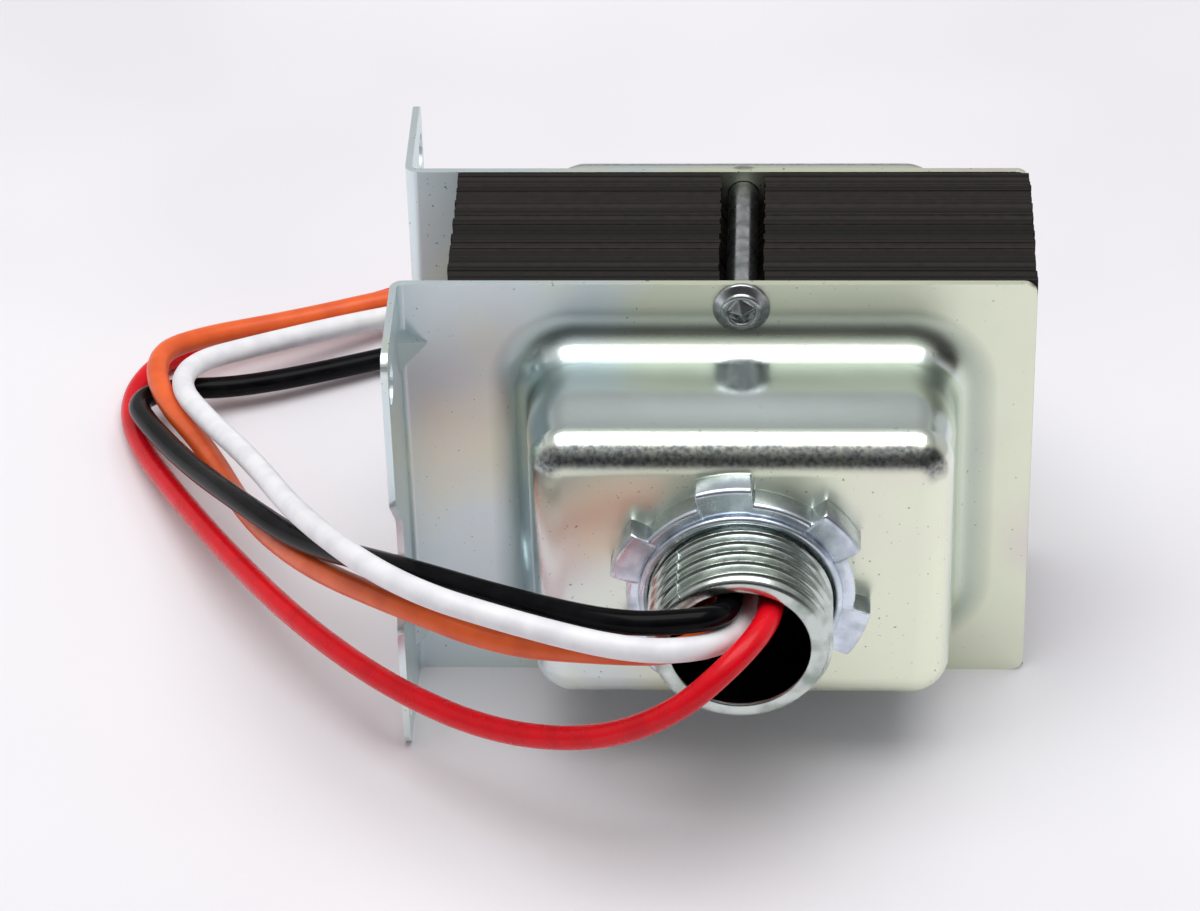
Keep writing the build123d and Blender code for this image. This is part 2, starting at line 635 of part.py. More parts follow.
def main():
    os.makedirs("parts", exist_ok=True)
    save("front_cover", front_cover())
    save("rear_cover", rear_cover())
    save("e_laminations", laminations(e_outline()))
    save("i_laminations", laminations(i_outline()))
    save("bobbin", bobbin())
    half = SPOOL_HEIGHT / 2 - BOBBIN_FLANGE - WINDING_FIT
    divider = DIVIDER_OFFSET - BOBBIN_DIVIDER / 2 - WINDING_FIT
    primary, primary_tape = winding(-half, divider)
    secondary, secondary_tape = winding(DIVIDER_OFFSET + BOBBIN_DIVIDER / 2 + WINDING_FIT, half)
    save("primary_winding", primary)
    save("primary_tape", primary_tape)
    save("secondary_winding", secondary)
    save("secondary_tape", secondary_tape)
    save("top_rivet", rivet(RIVET_Z))
    save("bottom_rivet", rivet(-RIVET_Z))
    save("conduit_hub", conduit_hub())
    save("hub_locknut", hub_locknut())
    save("lead_bushing", lead_bushing())
    save("lead_splices", lead_splices())
    save("terminal_board", terminal_board())
    save("terminal_plates", terminal_plates())
    save("terminal_screws", terminal_screws())
    save("board_eyelets", board_eyelets())
    save("secondary_tails", secondary_tails())
    for name, route in ROUTES.items():
        print(name)
        save(name, lead(placed(route)))
        save(name.replace("lead", "strands"), bare_end(placed(route)))


main()
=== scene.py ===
"""A foot-mounted control transformer with a threaded conduit hub and four primary leads, in Blender."""

import logging
import math
from collections.abc import Callable
from dataclasses import dataclass, field
from enum import Enum
from typing import Any

import bmesh
import bpy
import numpy as np
from mathutils import Matrix, Vector

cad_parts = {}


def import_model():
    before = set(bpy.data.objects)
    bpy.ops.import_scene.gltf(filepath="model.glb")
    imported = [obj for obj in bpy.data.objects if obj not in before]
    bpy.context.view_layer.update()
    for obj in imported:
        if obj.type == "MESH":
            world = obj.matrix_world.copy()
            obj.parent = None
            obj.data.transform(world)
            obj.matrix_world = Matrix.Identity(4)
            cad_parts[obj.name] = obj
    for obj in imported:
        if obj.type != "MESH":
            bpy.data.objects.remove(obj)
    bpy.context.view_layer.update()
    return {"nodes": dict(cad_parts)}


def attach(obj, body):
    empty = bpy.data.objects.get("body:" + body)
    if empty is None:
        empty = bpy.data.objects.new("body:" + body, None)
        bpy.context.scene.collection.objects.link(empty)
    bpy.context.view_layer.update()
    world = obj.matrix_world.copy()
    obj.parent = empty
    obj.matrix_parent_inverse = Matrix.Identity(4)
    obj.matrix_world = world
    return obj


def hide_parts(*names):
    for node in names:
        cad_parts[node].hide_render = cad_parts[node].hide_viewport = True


LOG = logging.getLogger("transformer")
MM = 0.001
CORE_X = 39.7
COVER_WIDTH = 73.0
FLOOR_Z = -27.8
FOOT_CLEAR = 9.0
PAN_BASE = (48.6, 39.7, 6.0)
PLATE_OUT = 12.0925
SHEET = 0.635

Point = tuple[float, float, float]
Socket = bpy.types.NodeSocket


class Slot(Enum):
    """The record's material slots."""

    COVER = "cover_zinc"
    CORE = "core_steel"
    BOBBIN = "bobbin_nylon"
    WINDING = "winding_copper"
    TAPE = "coil_tape"
    RIVET = "rivet_steel"
    HUB = "hub_zinc"
    LOCKNUT = "locknut_zinc"
    BUSHING = "bushing_fibre"
    SLEEVE = "splice_sleeve"
    BOARD = "board_phenolic"
    TERMINAL = "terminal_brass"
    SCREW = "screw_nickel"
    BLACK = "black_insulation"
    WHITE = "white_insulation"
    ORANGE = "orange_insulation"
    RED = "red_insulation"
    COPPER = "bare_copper"


def linear(hex_code: str) -> tuple[float, float, float, float]:
    """Turns an sRGB hex colour into linear light.

    Args:
        hex_code: Six hex digits after a hash sign.

    Returns:
        Linear red, green and blue, and an alpha of 1.
    """
    parts = [int(hex_code[i : i + 2], 16) / 255 for i in (1, 3, 5)]
    red, green, blue = [p / 12.92 if p <= 0.04045 else ((p + 0.055) / 1.055) ** 2.4 for p in parts]
    return red, green, blue, 1.0


@dataclass(frozen=True)
class Graph:
    """A node tree, with short ways to add the nodes that the finishes and the room are made of."""

    tree: bpy.types.NodeTree

    def add(self, kind: str, inputs: dict[Any, Any] | None = None, **settings: Any) -> bpy.types.Node:
        """Adds a node, sets it, and fills or links its inputs.

        Args:
            kind: Blender's name for the node's type.
            inputs: Input name or number to a value, or to the socket that feeds it.
            settings: The node's own properties.

        Returns:
            The new node.
        """
        node = self.tree.nodes.new(kind)
        for name, value in settings.items():
            setattr(node, name, value)
        for key, value in (inputs or {}).items():
            if isinstance(value, Socket):
                self.tree.links.new(value, node.inputs[key])
            else:
                node.inputs[key].default_value = value
        return node

    def ramp(self, factor: Socket, stops: list[tuple[float, str | float]]) -> Socket:
        """Maps a factor to colours or greys.

        Args:
            factor: The socket that drives it.
            stops: Position and either a hex colour or a grey level, in rising order.

        Returns:
            The colour that comes out.
        """
        node = self.add("ShaderNodeValToRGB", {"Fac": factor})
        elements = node.color_ramp.elements
        while len(elements) < len(stops):
            elements.new(0.5)
        for element, (position, value) in zip(elements, stops):
            element.position = position
            element.color = linear(value) if isinstance(value, str) else (value, value, value, 1.0)
        return node.outputs["Color"]

    def noise(self, where: Socket, size_mm: float, detail: float) -> Socket:
        """Soft noise whose lumps are about this many millimetres across."""
        inputs = {"Vector": where, "Scale": 1 / (size_mm * MM), "Detail": detail}
        return self.add("ShaderNodeTexNoise", inputs).outputs["Fac"]

    def split(self, vector: Socket) -> tuple[Socket, Socket, Socket]:
        """The X, Y and Z of a vector."""
        x, y, z = self.add("ShaderNodeSeparateXYZ", {"Vector": vector}).outputs
        return x, y, z

    def maths(self, operation: str, *terms: Socket | float) -> Socket:
        """The result of an operation on one to three numbers."""
        return self.add("ShaderNodeMath", dict(enumerate(terms)), operation=operation).outputs[0]

    def vector(self, operation: str, *terms: Socket | Point) -> Socket:
        """The result of an operation on one or two vectors."""
        node = self.add("ShaderNodeVectorMath", dict(enumerate(terms)), operation=operation)
        return node.outputs["Value" if operation == "LENGTH" else "Vector"]

    def span(
        self,
        value: Socket,
        low: float,
        high: float,
        to_low: float = 0.0,
        to_high: float = 1.0,
        **settings: Any,
    ) -> Socket:
        """Carries the range from low to high onto another range, and stops at its ends.

        Args:
            value: The socket that drives it.
            low: The value that gives to_low.
            high: The value that gives to_high.
            to_low: What comes out at low.
            to_high: What comes out at high.
            settings: The node's own properties.

        Returns:
            The number that comes out.
        """
        inputs = {"Value": value, "From Min": low, "From Max": high, "To Min": to_low, "To Max": to_high}
        return self.add("ShaderNodeMapRange", inputs, **settings).outputs[0]

    def mix(self, factor: Socket, below: Any, above: Any) -> Socket:
        """Lays one colour over another by a factor."""
        inputs = {"Factor": factor, "A": below, "B": above}
        return self.add("ShaderNodeMix", inputs, data_type="RGBA").outputs["Result"]

    def bump(self, height: Socket, distance_mm: float, strength: float) -> Socket:
        """The surface's direction once a small relief is laid on it."""
        inputs = {"Height": height, "Distance": distance_mm * MM, "Strength": strength}
        return self.add("ShaderNodeBump", inputs).outputs["Normal"]

    def surface(self, colour: Socket, rough: Socket | float, **others: Socket | float) -> Socket:
        """The lit surface.

        Args:
            colour: Its base colour.
            rough: Its roughness.
            others: Its other inputs, by name, with underscores for the spaces.

        Returns:
            The shader that comes out.
        """
        inputs = {"Base Color": colour, "Roughness": rough}
        inputs |= {name.replace("_", " "): value for name, value in others.items()}
        return self.add("ShaderNodeBsdfPrincipled", inputs).outputs["BSDF"]


@dataclass(frozen=True)
class Finish:
    """A real surface finish that knows its slot in the record and how to build its shader."""

    name: str
    slot: Slot | None = None

    def material(self) -> bpy.types.Material:
        """Makes the material once, and gives the same one back after that."""
        found = bpy.data.materials.get(self.name)
        if found is not None:
            return found
        material = bpy.data.materials.new(self.name)
        material.use_nodes = True
        graph = Graph(material.node_tree)
        graph.tree.nodes.clear()
        where = graph.add("ShaderNodeTexCoord").outputs["Object"]
        graph.add("ShaderNodeOutputMaterial", {"Surface": self.shader(graph, where)})
        return material

    def shader(self, graph: Graph, where: Socket) -> Socket:
        """Builds the shader from object coordinates and gives back its output."""
        raise NotImplementedError


@dataclass(frozen=True)
class ChromatedZincSheet(Finish):
    """Cold-rolled sheet, zinc plated and dipped in clear-yellow chromate.

    The eye sees a satin metal with slow drifts from pale straw green to blue grey, a fine orange
    peel, and small dark specks where the plating is thin. The plate is dull and the walls that the die
    drew are burnished. A dark greenish shade is painted into the root of the draw, and a dark
    reflection band is painted along the upper rim.
    """

    straw: str = "#ECF1DA"
    blue_grey: str = "#E2EEF1"
    pinkish: str = "#E8E4DA"
    # colour of the painted shade in the pan's root, dark and greenish
    root: str = "#6C8788"
    # colour of the painted dark reflection band along the upper rim
    rim_reflection_dark: str = "#4E5264"
    speck: str = "#5E5D4E"
    drift_mm: float = 19.0
    cloud_mm: float = 4.0
    peel_mm: float = 0.55
    speck_mm: float = 0.55
    draw_mm: float = 20.0
    # distances from the root's corner centres over which the painted root shade fades out
    stain_and_shade_mm: tuple[float, float] = (4.0, 14.0)
    upper_rim_mm: tuple[float, float] = (13.0, 15.0)
    plate_roughness: float = 0.4

    def film(self, graph: Graph, where: Socket, x: Socket) -> Socket:
        """The film's tint, warmer away from the feet, with its specks."""
        drift = graph.noise(where, self.drift_mm, 2.0)
        across = graph.span(x, 0.0, COVER_WIDTH * MM, 0.12, 0.46)
        tint = graph.ramp(
            graph.maths("MULTIPLY_ADD", drift, 0.5, across),
            [(0.38, self.blue_grey), (0.52, self.straw), (0.66, self.straw), (0.78, self.pinkish)],
        )
        specks = graph.ramp(graph.noise(where, self.speck_mm, 1.0), [(0.72, 0.0), (0.8, 0.7)])
        return graph.mix(specks, tint, linear(self.speck))

    def painted_root_shade(self, graph: Graph, where: Socket, share: Socket) -> Socket:
        """Painted shade in the pan's root, by the distance from the corner centres of the pan's base."""
        width, height, radius = PAN_BASE
        straight = ((width / 2 - radius) * MM, 1.0, (height / 2 - radius) * MM)
        centred = graph.vector("SUBTRACT", where, (CORE_X * MM, 0, 0))
        past = graph.vector("SUBTRACT", graph.vector("ABSOLUTE", centred), straight)
        reach = graph.vector("LENGTH", graph.vector("MAXIMUM", past, (0, 0, 0)))
        near, far = self.stain_and_shade_mm
        out = graph.span(reach, near * MM, far * MM)
        halo = graph.ramp(out, [(0.1, 0.3), (0.22, 0.9), (0.4, 0.7), (0.7, 0.0)])
        below = graph.ramp(share, [(0.0, 1.0), (0.05, 0.5), (0.12, 0.0)])
        return graph.maths("MULTIPLY", halo, below)

    def painted_rim_reflection(self, graph: Graph, z: Socket, share: Socket, peel: Socket) -> Socket:
        """How much dark reflection is painted on, only along the upper rim and on the peel's lows."""
        # painted dark reflection band, at the rim's share of the pan
        dark_band = graph.ramp(share, [(0.81, 0.0), (0.84, 0.88), (0.9, 0.88), (0.912, 0.0)])
        grit = graph.ramp(peel, [(0.35, 1.0), (0.65, 0.6)])
        low, high = self.upper_rim_mm
        upper = graph.span(z, low * MM, high * MM)
        return graph.maths("MULTIPLY", graph.maths("MULTIPLY", dark_band, grit), upper)

    def shader(self, graph: Graph, where: Socket) -> Socket:
        """Satin metal with the film over it; share runs from the plate to past the pan's face."""
        x, y, z = graph.split(where)
        peel = graph.noise(where, self.peel_mm, 3.0)
        share = graph.span(graph.maths("ABSOLUTE", y), PLATE_OUT * MM, (PLATE_OUT + self.draw_mm) * MM)
        on_pan = graph.maths("GREATER_THAN", x, FOOT_CLEAR * MM)
        colour = self.film(graph, where, x)
        # paints a dark greenish shade into the pan's root
        colour = graph.mix(self.painted_root_shade(graph, where, share), colour, linear(self.root))
        drawn = graph.ramp(share, [(0.05, 0.0), (0.12, 0.8), (0.7, 0.8), (0.84, 0.0)])
        colour = graph.mix(graph.maths("MULTIPLY", drawn, on_pan), colour, linear(self.blue_grey))
        # paints a dark reflection band along the pan's upper rim
        colour = graph.mix(self.painted_rim_reflection(graph, z, share, peel), colour, linear(self.rim_reflection_dark))
        level = self.plate_roughness
        burnish = graph.ramp(share, [(0.0, level), (0.06, 0.2), (0.8, 0.18), (0.9, 0.33)])
        plain = graph.mix(on_pan, (level, level, level, 1), burnish)
        cloud = graph.span(graph.noise(where, self.cloud_mm, 4.0), 0.0, 1.0, -0.03, 0.04)
        rough = graph.maths("ADD", plain, cloud)
        return graph.surface(colour, rough, Metallic=1.0, Normal=graph.bump(peel, 0.012, 0.5))


@dataclass(frozen=True)
class BrightZinc(Finish):
    """Bright zinc plate on a turned or stamped steel part.

    The eye sees a clear cool metal with fine tool marks round the axis, a little dullness in hollows
    and, where the part is a tube, a shade painted dark inside its bore.
    """

    colour: str = "#C9D0D2"
    hollow: str = "#9AA39D"
    roughness: float = 0.2
    tool_mm: float = 0.22
    stain_and_shade_mm: float = 3.0
    bore_mm: float = 0.0
    bore_edge_mm: float = 0.12
    # colour of the shade painted inside the bore
    bore_shade: str = "#1D1C1A"

    def shader(self, graph: Graph, where: Socket) -> Socket:
        """Bright metal with rings along Y as tool marks."""
        x, y, z = graph.split(where)
        along = graph.add("ShaderNodeCombineXYZ", {"Y": y}).outputs[0]
        marks = graph.noise(along, self.tool_mm, 2.0)
        stain = graph.noise(where, self.stain_and_shade_mm, 4.0)
        colour = graph.ramp(stain, [(0.3, self.hollow), (0.55, self.colour)])
        rough = graph.ramp(stain, [(0.3, self.roughness + 0.12), (0.65, self.roughness)])
        # paints shade inside the bore's radius, near black
        if self.bore_mm > 0:
            off = graph.maths("SUBTRACT", x, CORE_X * MM)
            arm = graph.add("ShaderNodeCombineXYZ", {"X": off, "Z": z}).outputs[0]
            reach = graph.vector("LENGTH", arm)
            outside = graph.span(reach, self.bore_mm * MM, (self.bore_mm + self.bore_edge_mm) * MM)
            colour = graph.mix(outside, linear(self.bore_shade), colour)
        return graph.surface(colour, rough, Metallic=1.0, Normal=graph.bump(marks, 0.01, 0.6))


@dataclass(frozen=True)
class VarnishedCoreSteel(Finish):
    """Sheared edges of silicon steel sheets under dip varnish.

    The eye sees near-black sheets, each a slightly different dark brown, with fine shear marks.
    """

    dark: str = "#0B0908"
    brown: str = "#27221F"
    grime_mm: float = 1.1

    def shader(self, graph: Graph, where: Socket) -> Socket:
        """Dark varnish whose tone changes from sheet to sheet along Y."""
        _, y, _ = graph.split(where)
        step = graph.maths("FLOOR", graph.maths("MULTIPLY", y, 1 / (SHEET * MM)))
        tone = graph.add("ShaderNodeTexWhiteNoise", {"W": step}, noise_dimensions="1D").outputs["Value"]
        grime = graph.noise(where, self.grime_mm, 5.0)
        colour = graph.ramp(graph.maths("MULTIPLY", tone, grime), [(0.05, self.dark), (0.55, self.brown)])
        rough = graph.ramp(grime, [(0.3, 0.5), (0.7, 0.7)])
        return graph.surface(colour, rough, Specular_IOR_Level=0.22, Normal=graph.bump(grime, 0.03, 0.5))


@dataclass(frozen=True)
class VinylInsulation(Finish):
    """Extruded vinyl on hook-up wire: smooth, a little waxy, with faint handling marks."""

    colour: str = "#FFFFFF"
    worn: str = "#DDDDDD"
    roughness: float = 0.3
    gloss: float = 0.4
    tone_mm: float = 3.5

    def shader(self, graph: Graph, where: Socket) -> Socket:
        """Waxy plastic with slow changes of tone and a faint unevenness."""
        slow = graph.noise(where, self.tone_mm, 3.0)
        colour = graph.ramp(slow, [(0.35, self.worn), (0.6, self.colour)])
        rough = graph.ramp(slow, [(0.3, self.roughness + 0.1), (0.7, self.roughness)])
        return graph.surface(
            colour,
            rough,
            Normal=graph.bump(slow, 0.05, 0.35),
            Specular_IOR_Level=self.gloss,
            Coat_Weight=0.03,
            Coat_Roughness=0.08,
        )


@dataclass(frozen=True)
class PlainMetal(Finish):
    """A clean plain metal such as brass, nickel plate or bare copper, lightly tarnished."""

    colour: str = "#FFFFFF"
    tarnish: str = "#888888"
    roughness: float = 0.25
    patch_mm: float = 1.8

    def shader(self, graph: Graph, where: Socket) -> Socket:
        """Metal with patches of tarnish a few millimetres across."""
        patch = graph.noise(where, self.patch_mm, 4.0)
        colour = graph.ramp(patch, [(0.32, self.tarnish), (0.6, self.colour)])
        rough = graph.ramp(patch, [(0.3, self.roughness + 0.15), (0.65, self.roughness)])
        return graph.surface(colour, rough, Metallic=1.0, Normal=graph.bump(patch, 0.01, 0.4))


@dataclass(frozen=True)
class WoundWire(Finish):
    """Close turns of enamelled magnet wire, seen as fine glossy bands one turn high."""

    colour: str = "#B4622F"
    # colour of the shade painted into the grooves between turns
    gap: str = "#3B1C0C"
    turn_mm: float = 0.45

    def shader(self, graph: Graph, where: Socket) -> Socket:
        """Rounded bands along Z with shade painted dark in the groove between turns."""
        _, _, z = graph.split(where)
        wave = graph.maths("SINE", graph.maths("MULTIPLY", z, math.pi / (self.turn_mm * MM)))
        crown = graph.maths("ABSOLUTE", wave)
        # paints shade where neighbouring turns meet
        colour = graph.ramp(crown, [(0.1, self.gap), (0.5, self.colour)])
        return graph.surface(
            colour,
            0.3,
            Metallic=0.6,
            Normal=graph.bump(crown, 0.2, 0.8),
            Coat_Weight=0.6,
            Coat_Roughness=0.1,
        )


@dataclass(frozen=True)
class MattInsulator(Finish):
    """A moulded, pressed or woven insulator: nylon, phenolic, fibre, paper tape or sleeving."""

    colour: str = "#FFFFFF"
    shade: str = "#CCCCCC"
    roughness: float = 0.55
    grain_mm: float = 0.4

    def shader(self, graph: Graph, where: Socket) -> Socket:
        """Matt plastic with a fine grain."""
        grain = graph.noise(where, self.grain_mm, 5.0)
        colour = graph.ramp(grain, [(0.3, self.shade), (0.65, self.colour)])
        return graph.surface(colour, self.roughness, Normal=graph.bump(grain, 0.02, 0.5))


@dataclass(frozen=True)
class WhitePaper(Finish):
    """The white sheet that the transformer stands on: matt, with a faint unevenness."""

    colour: str = "#ECEAEE"
    shade: str = "#E4E2E7"
    cloud_mm: float = 90.0

    def shader(self, graph: Graph, where: Socket) -> Socket:
        """Matt white with broad, faint clouds."""
        cloud = graph.noise(where, self.cloud_mm, 2.0)
        return graph.surface(graph.ramp(cloud, [(0.35, self.shade), (0.6, self.colour)]), 0.8)


COVER_SHEET = ChromatedZincSheet("chromated zinc sheet", Slot.COVER)
HUB_ZINC = BrightZinc("bright zinc, turned", Slot.HUB, "#CDD5D0", "#98A39A", bore_mm=7.84)
NUT_ZINC = BrightZinc("bright zinc, stamped", Slot.LOCKNUT, "#DDE6F0", "#AEB7C2", 0.24)
RIVET_ZINC = PlainMetal("burnished rivet steel", Slot.RIVET, "#C4C9CA", "#8B908F", 0.2)
CORE_VARNISH = VarnishedCoreSteel("varnished core steel", Slot.CORE)
COPPER_WIRE = PlainMetal("bare copper wire", Slot.COPPER, "#D98E63", "#9A5A38", 0.28)
BRASS = PlainMetal("plain brass", Slot.TERMINAL, "#D3B36A", "#9C7D3E", 0.28)
NICKEL = PlainMetal("nickel plate", Slot.SCREW, "#C9C6BC", "#96938A", 0.22)
MAGNET_WIRE = WoundWire("enamelled magnet wire", Slot.WINDING)
NYLON = MattInsulator("moulded nylon", Slot.BOBBIN, "#E4DFD0", "#D3CCB9", 0.45)
PAPER_TAPE = MattInsulator("paper tape", Slot.TAPE, "#D8C48C", "#C2AA6C", 0.7, 0.25)
FIBRE = MattInsulator("vulcanised fibre", Slot.BUSHING, "#1A1715", "#0F0D0C", 0.6)
SLEEVING = MattInsulator("varnished sleeving", Slot.SLEEVE, "#D9CFA6", "#B9AC7C", 0.4, 0.5)
PHENOLIC = MattInsulator("moulded phenolic", Slot.BOARD, "#1E1B1A", "#131110", 0.38, 0.8)


def grid_faces(rows: int, columns: int, close_rows: bool, close_columns: bool) -> np.ndarray:
    """Joins a grid of points into quads.

    The quad at (i, j) joins points (i, j), (i + 1, j), (i + 1, j + 1) and (i, j + 1), and point (i, j)
    has number i * columns + j. A closed direction wraps round to its first point.

    Args:
        rows: Number of points in the first direction.
        columns: Number of points in the second direction.
        close_rows: Whether the last row joins the first.
        close_columns: Whether the last column joins the first.

    Returns:
        An array of quads, four point numbers each.
    """
    i, j = np.meshgrid(
        np.arange(rows if close_rows else rows - 1),
        np.arange(columns if close_columns else columns - 1),
        indexing="ij",
    )
    up, over = (i + 1) % rows, (j + 1) % columns
    quads = np.stack([i * columns + j, up * columns + j, up * columns + over, i * columns + over], axis=-1)
    return quads.reshape(-1, 4)


def put_on(name: str, data: bpy.types.ID, finish: Finish, node: str | None = None) -> bpy.types.Object:
    """Puts a new piece on the transformer's one body.

    Args:
        name: The piece's name.
        data: Its mesh or curve, whose only material is the finish.
        finish: Its finish, which knows its slot.
        node: The CAD node that it stands for, if any.

    Returns:
        The piece.
    """
    data.materials.clear()
    data.materials.append(finish.material())
    piece = bpy.data.objects.new(name, data)
    bpy.context.scene.collection.objects.link(piece)
    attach(piece, "root")
    if node is not None:
        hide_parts(node)
    return piece


def mesh_piece(
    name: str,
    points: np.ndarray,
    faces: np.ndarray,
    finish: Finish,
    node: str | None = None,
    sharp: float = 40.0,
) -> bpy.types.Object:
    """Makes a closed piece from points in millimetres, and puts it on the transformer.

    Doubled points are merged, so that poles close, and the normals are turned outwards.

    Args:
        name: The piece's name.
        points: Points in the row frame, in millimetres, in an array whose last axis is (x, y, z).
        faces: An array of quads.
        finish: Its finish.
        node: The CAD node that it stands for, if any.
        sharp: Edges that turn more than this many degrees are left sharp.

    Returns:
        The piece.
    """
    mesh = bpy.data.meshes.new(name)
    mesh.from_pydata((points.reshape(-1, 3) * MM).tolist(), [], faces.tolist())
    work = bmesh.new()
    work.from_mesh(mesh)
    bmesh.ops.remove_doubles(work, verts=work.verts, dist=1e-7)
    bmesh.ops.dissolve_degenerate(work, edges=work.edges, dist=1e-8)
    bmesh.ops.recalc_face_normals(work, faces=work.faces)
    work.to_mesh(mesh)
    work.free()
    mesh.shade_smooth()
    mesh.set_sharp_from_angle(angle=math.radians(sharp))
    return put_on(name, mesh, finish, node)


def turned_piece(
    name: str,
    angle: np.ndarray,
    radius: np.ndarray,
    reach: np.ndarray,
    finish: Finish,
    node: str | None = None,
    z: float = 0.0,
    closed: bool = True,
    sharp: float = 40.0,
) -> bpy.types.Object:
    """Makes a piece by carrying a section round an axis along Y through the core's middle.

    The point at angle a, radius r and reach d is the core's X plus r cos a, minus d, z plus r sin a.
    The three arrays have a row for each angle and a column for each point of the section, or one of
    either.

    Args:
        name: The piece's name.
        angle: The angles, in radians.
        radius: The radii, in millimetres.
        reach: The distances along -Y, in millimetres.
        finish: Its finish.
        node: The CAD node that it stands for, if any.
        z: The axis's height, in millimetres.
        closed: Whether the section's last point joins its first.
        sharp: Edges that turn more than this many degrees are left sharp.

    Returns:
        The piece.
    """
    angle, radius, reach = np.broadcast_arrays(angle, radius, reach)
    points = np.stack([CORE_X + radius * np.cos(angle), -reach, z + radius * np.sin(angle)], axis=-1)
    return mesh_piece(name, points, grid_faces(*angle.shape, True, closed), finish, node, sharp)


@dataclass
class Frame:
    """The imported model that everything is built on."""

    nodes: dict[str, bpy.types.Object]

    def dress(self, names: list[str], finish: Finish) -> None:
        """Gives CAD nodes a finish.

        Args:
            names: The nodes.
            finish: The finish that they all get.
        """
        for name in names:
            node = self.nodes[name]
            node.data.materials.clear()
            node.data.materials.append(finish.material())
            LOG.info("dressed %s in %s", name, finish.name)

    def softened_copy(
        self,
        node: str,
        name: str,
        finish: Finish,
        edge_mm: float,
        cut: Callable[[bmesh.types.BMesh], None] | None = None,
    ) -> bpy.types.Object:
        """Copies a CAD node, merges its loose triangles, and rounds its sharp edges a little.

        Edges that turn more than 30 degrees are sharp.

        Args:
            node: The CAD node that the copy stands for.
            name: The piece's name.
            finish: Its finish.
            edge_mm: Width of the rounding on sharp edges.
            cut: What is done to the merged copy first, if anything.

        Returns:
            The piece.
        """
        mesh = self.nodes[node].data.copy()
        mesh.name = name
        work = bmesh.new()
        work.from_mesh(mesh)
        bmesh.ops.remove_doubles(work, verts=work.verts, dist=2e-6)
        if cut is not None:
            cut(work)
        work.to_mesh(mesh)
        work.free()
        sharp = math.radians(30)
        mesh.shade_smooth()
        mesh.set_sharp_from_angle(angle=sharp)
        piece = put_on(name, mesh, finish, node)
        bevel = piece.modifiers.new("edge", "BEVEL")
        bevel.width = edge_mm * MM
        bevel.segments = 2
        bevel.limit_method = "ANGLE"
        bevel.angle_limit = sharp
        even = piece.modifiers.new("even", "WEIGHTED_NORMAL")
        even.weight = 90
        even.keep_sharp = True
        return piece


@dataclass
class Lead:
    """One insulated lead from its splice in the pan to its bare end behind the part.

    Its points are in millimetres, with X counted from the hub's axis.
    """

    name: str
    insulation: VinylInsulation
    route: list[Point]
    exit_mm: Point
    length_mm: float
    radius: float = 1.4
    strand_r: float = 0.13
    bundle_r: float = 0.46
    bare: float = 9.0
    tucked: float = 0.12
    strands: int = 10
    twists: float = 1.1
    splay: float = 0.18

    def placed(self) -> np.ndarray:
        """The route's points in the row frame, in millimetres."""
        return np.array(self.route) + (CORE_X, 0, 0)

    def curve(self) -> bpy.types.Object:
        """The insulation, as a smooth round tube along the route."""
        data = bpy.data.curves.new(self.name + "_wire", "CURVE")
        data.dimensions = "3D"
        spline = data.splines.new("NURBS")
        spline.points.add(len(self.route) - 1)
        rows = np.column_stack([self.placed() * MM, np.ones(len(self.route))])
        spline.points.foreach_set("co", rows.ravel())
        spline.order_u = 3
        spline.use_endpoint_u = True
        spline.resolution_u = 14
        data.bevel_depth = self.radius * MM
        data.bevel_resolution = 7
        data.use_fill_caps = True
        return put_on(self.name + "_wire", data, self.insulation, self.name)

    def bare_end(self) -> bpy.types.Object:
        """The bare strands, twisted round each other.

        Strand k's centre is the tip plus t times the run's direction, plus the bundle radius times a
        unit vector that turns by the twist as t grows, and that splays out over the last third. Its own
        radius follows the fourth root of 1 - (2s - 1)^8, with s its share of the run, which closes it
        at both ends. A plain core fills the middle.

        Returns:
            The bundle of strands.
        """
        before, tip = self.placed()[-2:]
        along = (tip - before) / np.linalg.norm(tip - before)
        side = np.cross(along, (0.0, 0.0, 1.0))
        side /= np.linalg.norm(side)
        up = np.cross(side, along)
        t = np.linspace(-self.tucked, 1.0, 40)[None, :, None]
        k = np.arange(self.strands)[:, None, None]
        ring = np.linspace(0, 2 * np.pi, 8, endpoint=False)[None, None, :]
        turn = 2 * np.pi * (k / self.strands + self.twists * t)
        spread = self.bundle_r * (1 + self.splay * np.clip(t - 0.7, 0, 1) * np.sin(2.6 * k))
        span = (t - t.min()) / (t.max() - t.min())
        shut = np.clip(1 - (2 * span - 1) ** 8, 0, 1) ** 0.25
        across = spread * np.cos(turn) + self.strand_r * shut * np.cos(ring)
        above = spread * np.sin(turn) + self.strand_r * shut * np.sin(ring)
        forward = np.broadcast_to(t * self.bare, across.shape)
        points = tip + forward[..., None] * along + across[..., None] * side + above[..., None] * up
        core = tip + forward[:1, ..., None] * along
        inner = (self.bundle_r - self.strand_r) * shut
        core = core + (inner * np.cos(ring))[..., None] * side + (inner * np.sin(ring))[..., None] * up
        points = np.concatenate([points, core])
        count, rows, columns = points.shape[:3]
        one = grid_faces(rows, columns, False, True)
        faces = (one[None] + np.arange(count)[:, None, None] * rows * columns).reshape(-1, 4)
        colour = self.name.replace("_lead", "")
        return mesh_piece(f"{colour}_bare_strands", points, faces, COPPER_WIRE, f"{colour}_strands")

    def build(self) -> None:
        wire, end = self.curve(), self.bare_end()
        LOG.info("laid %s", self.name)


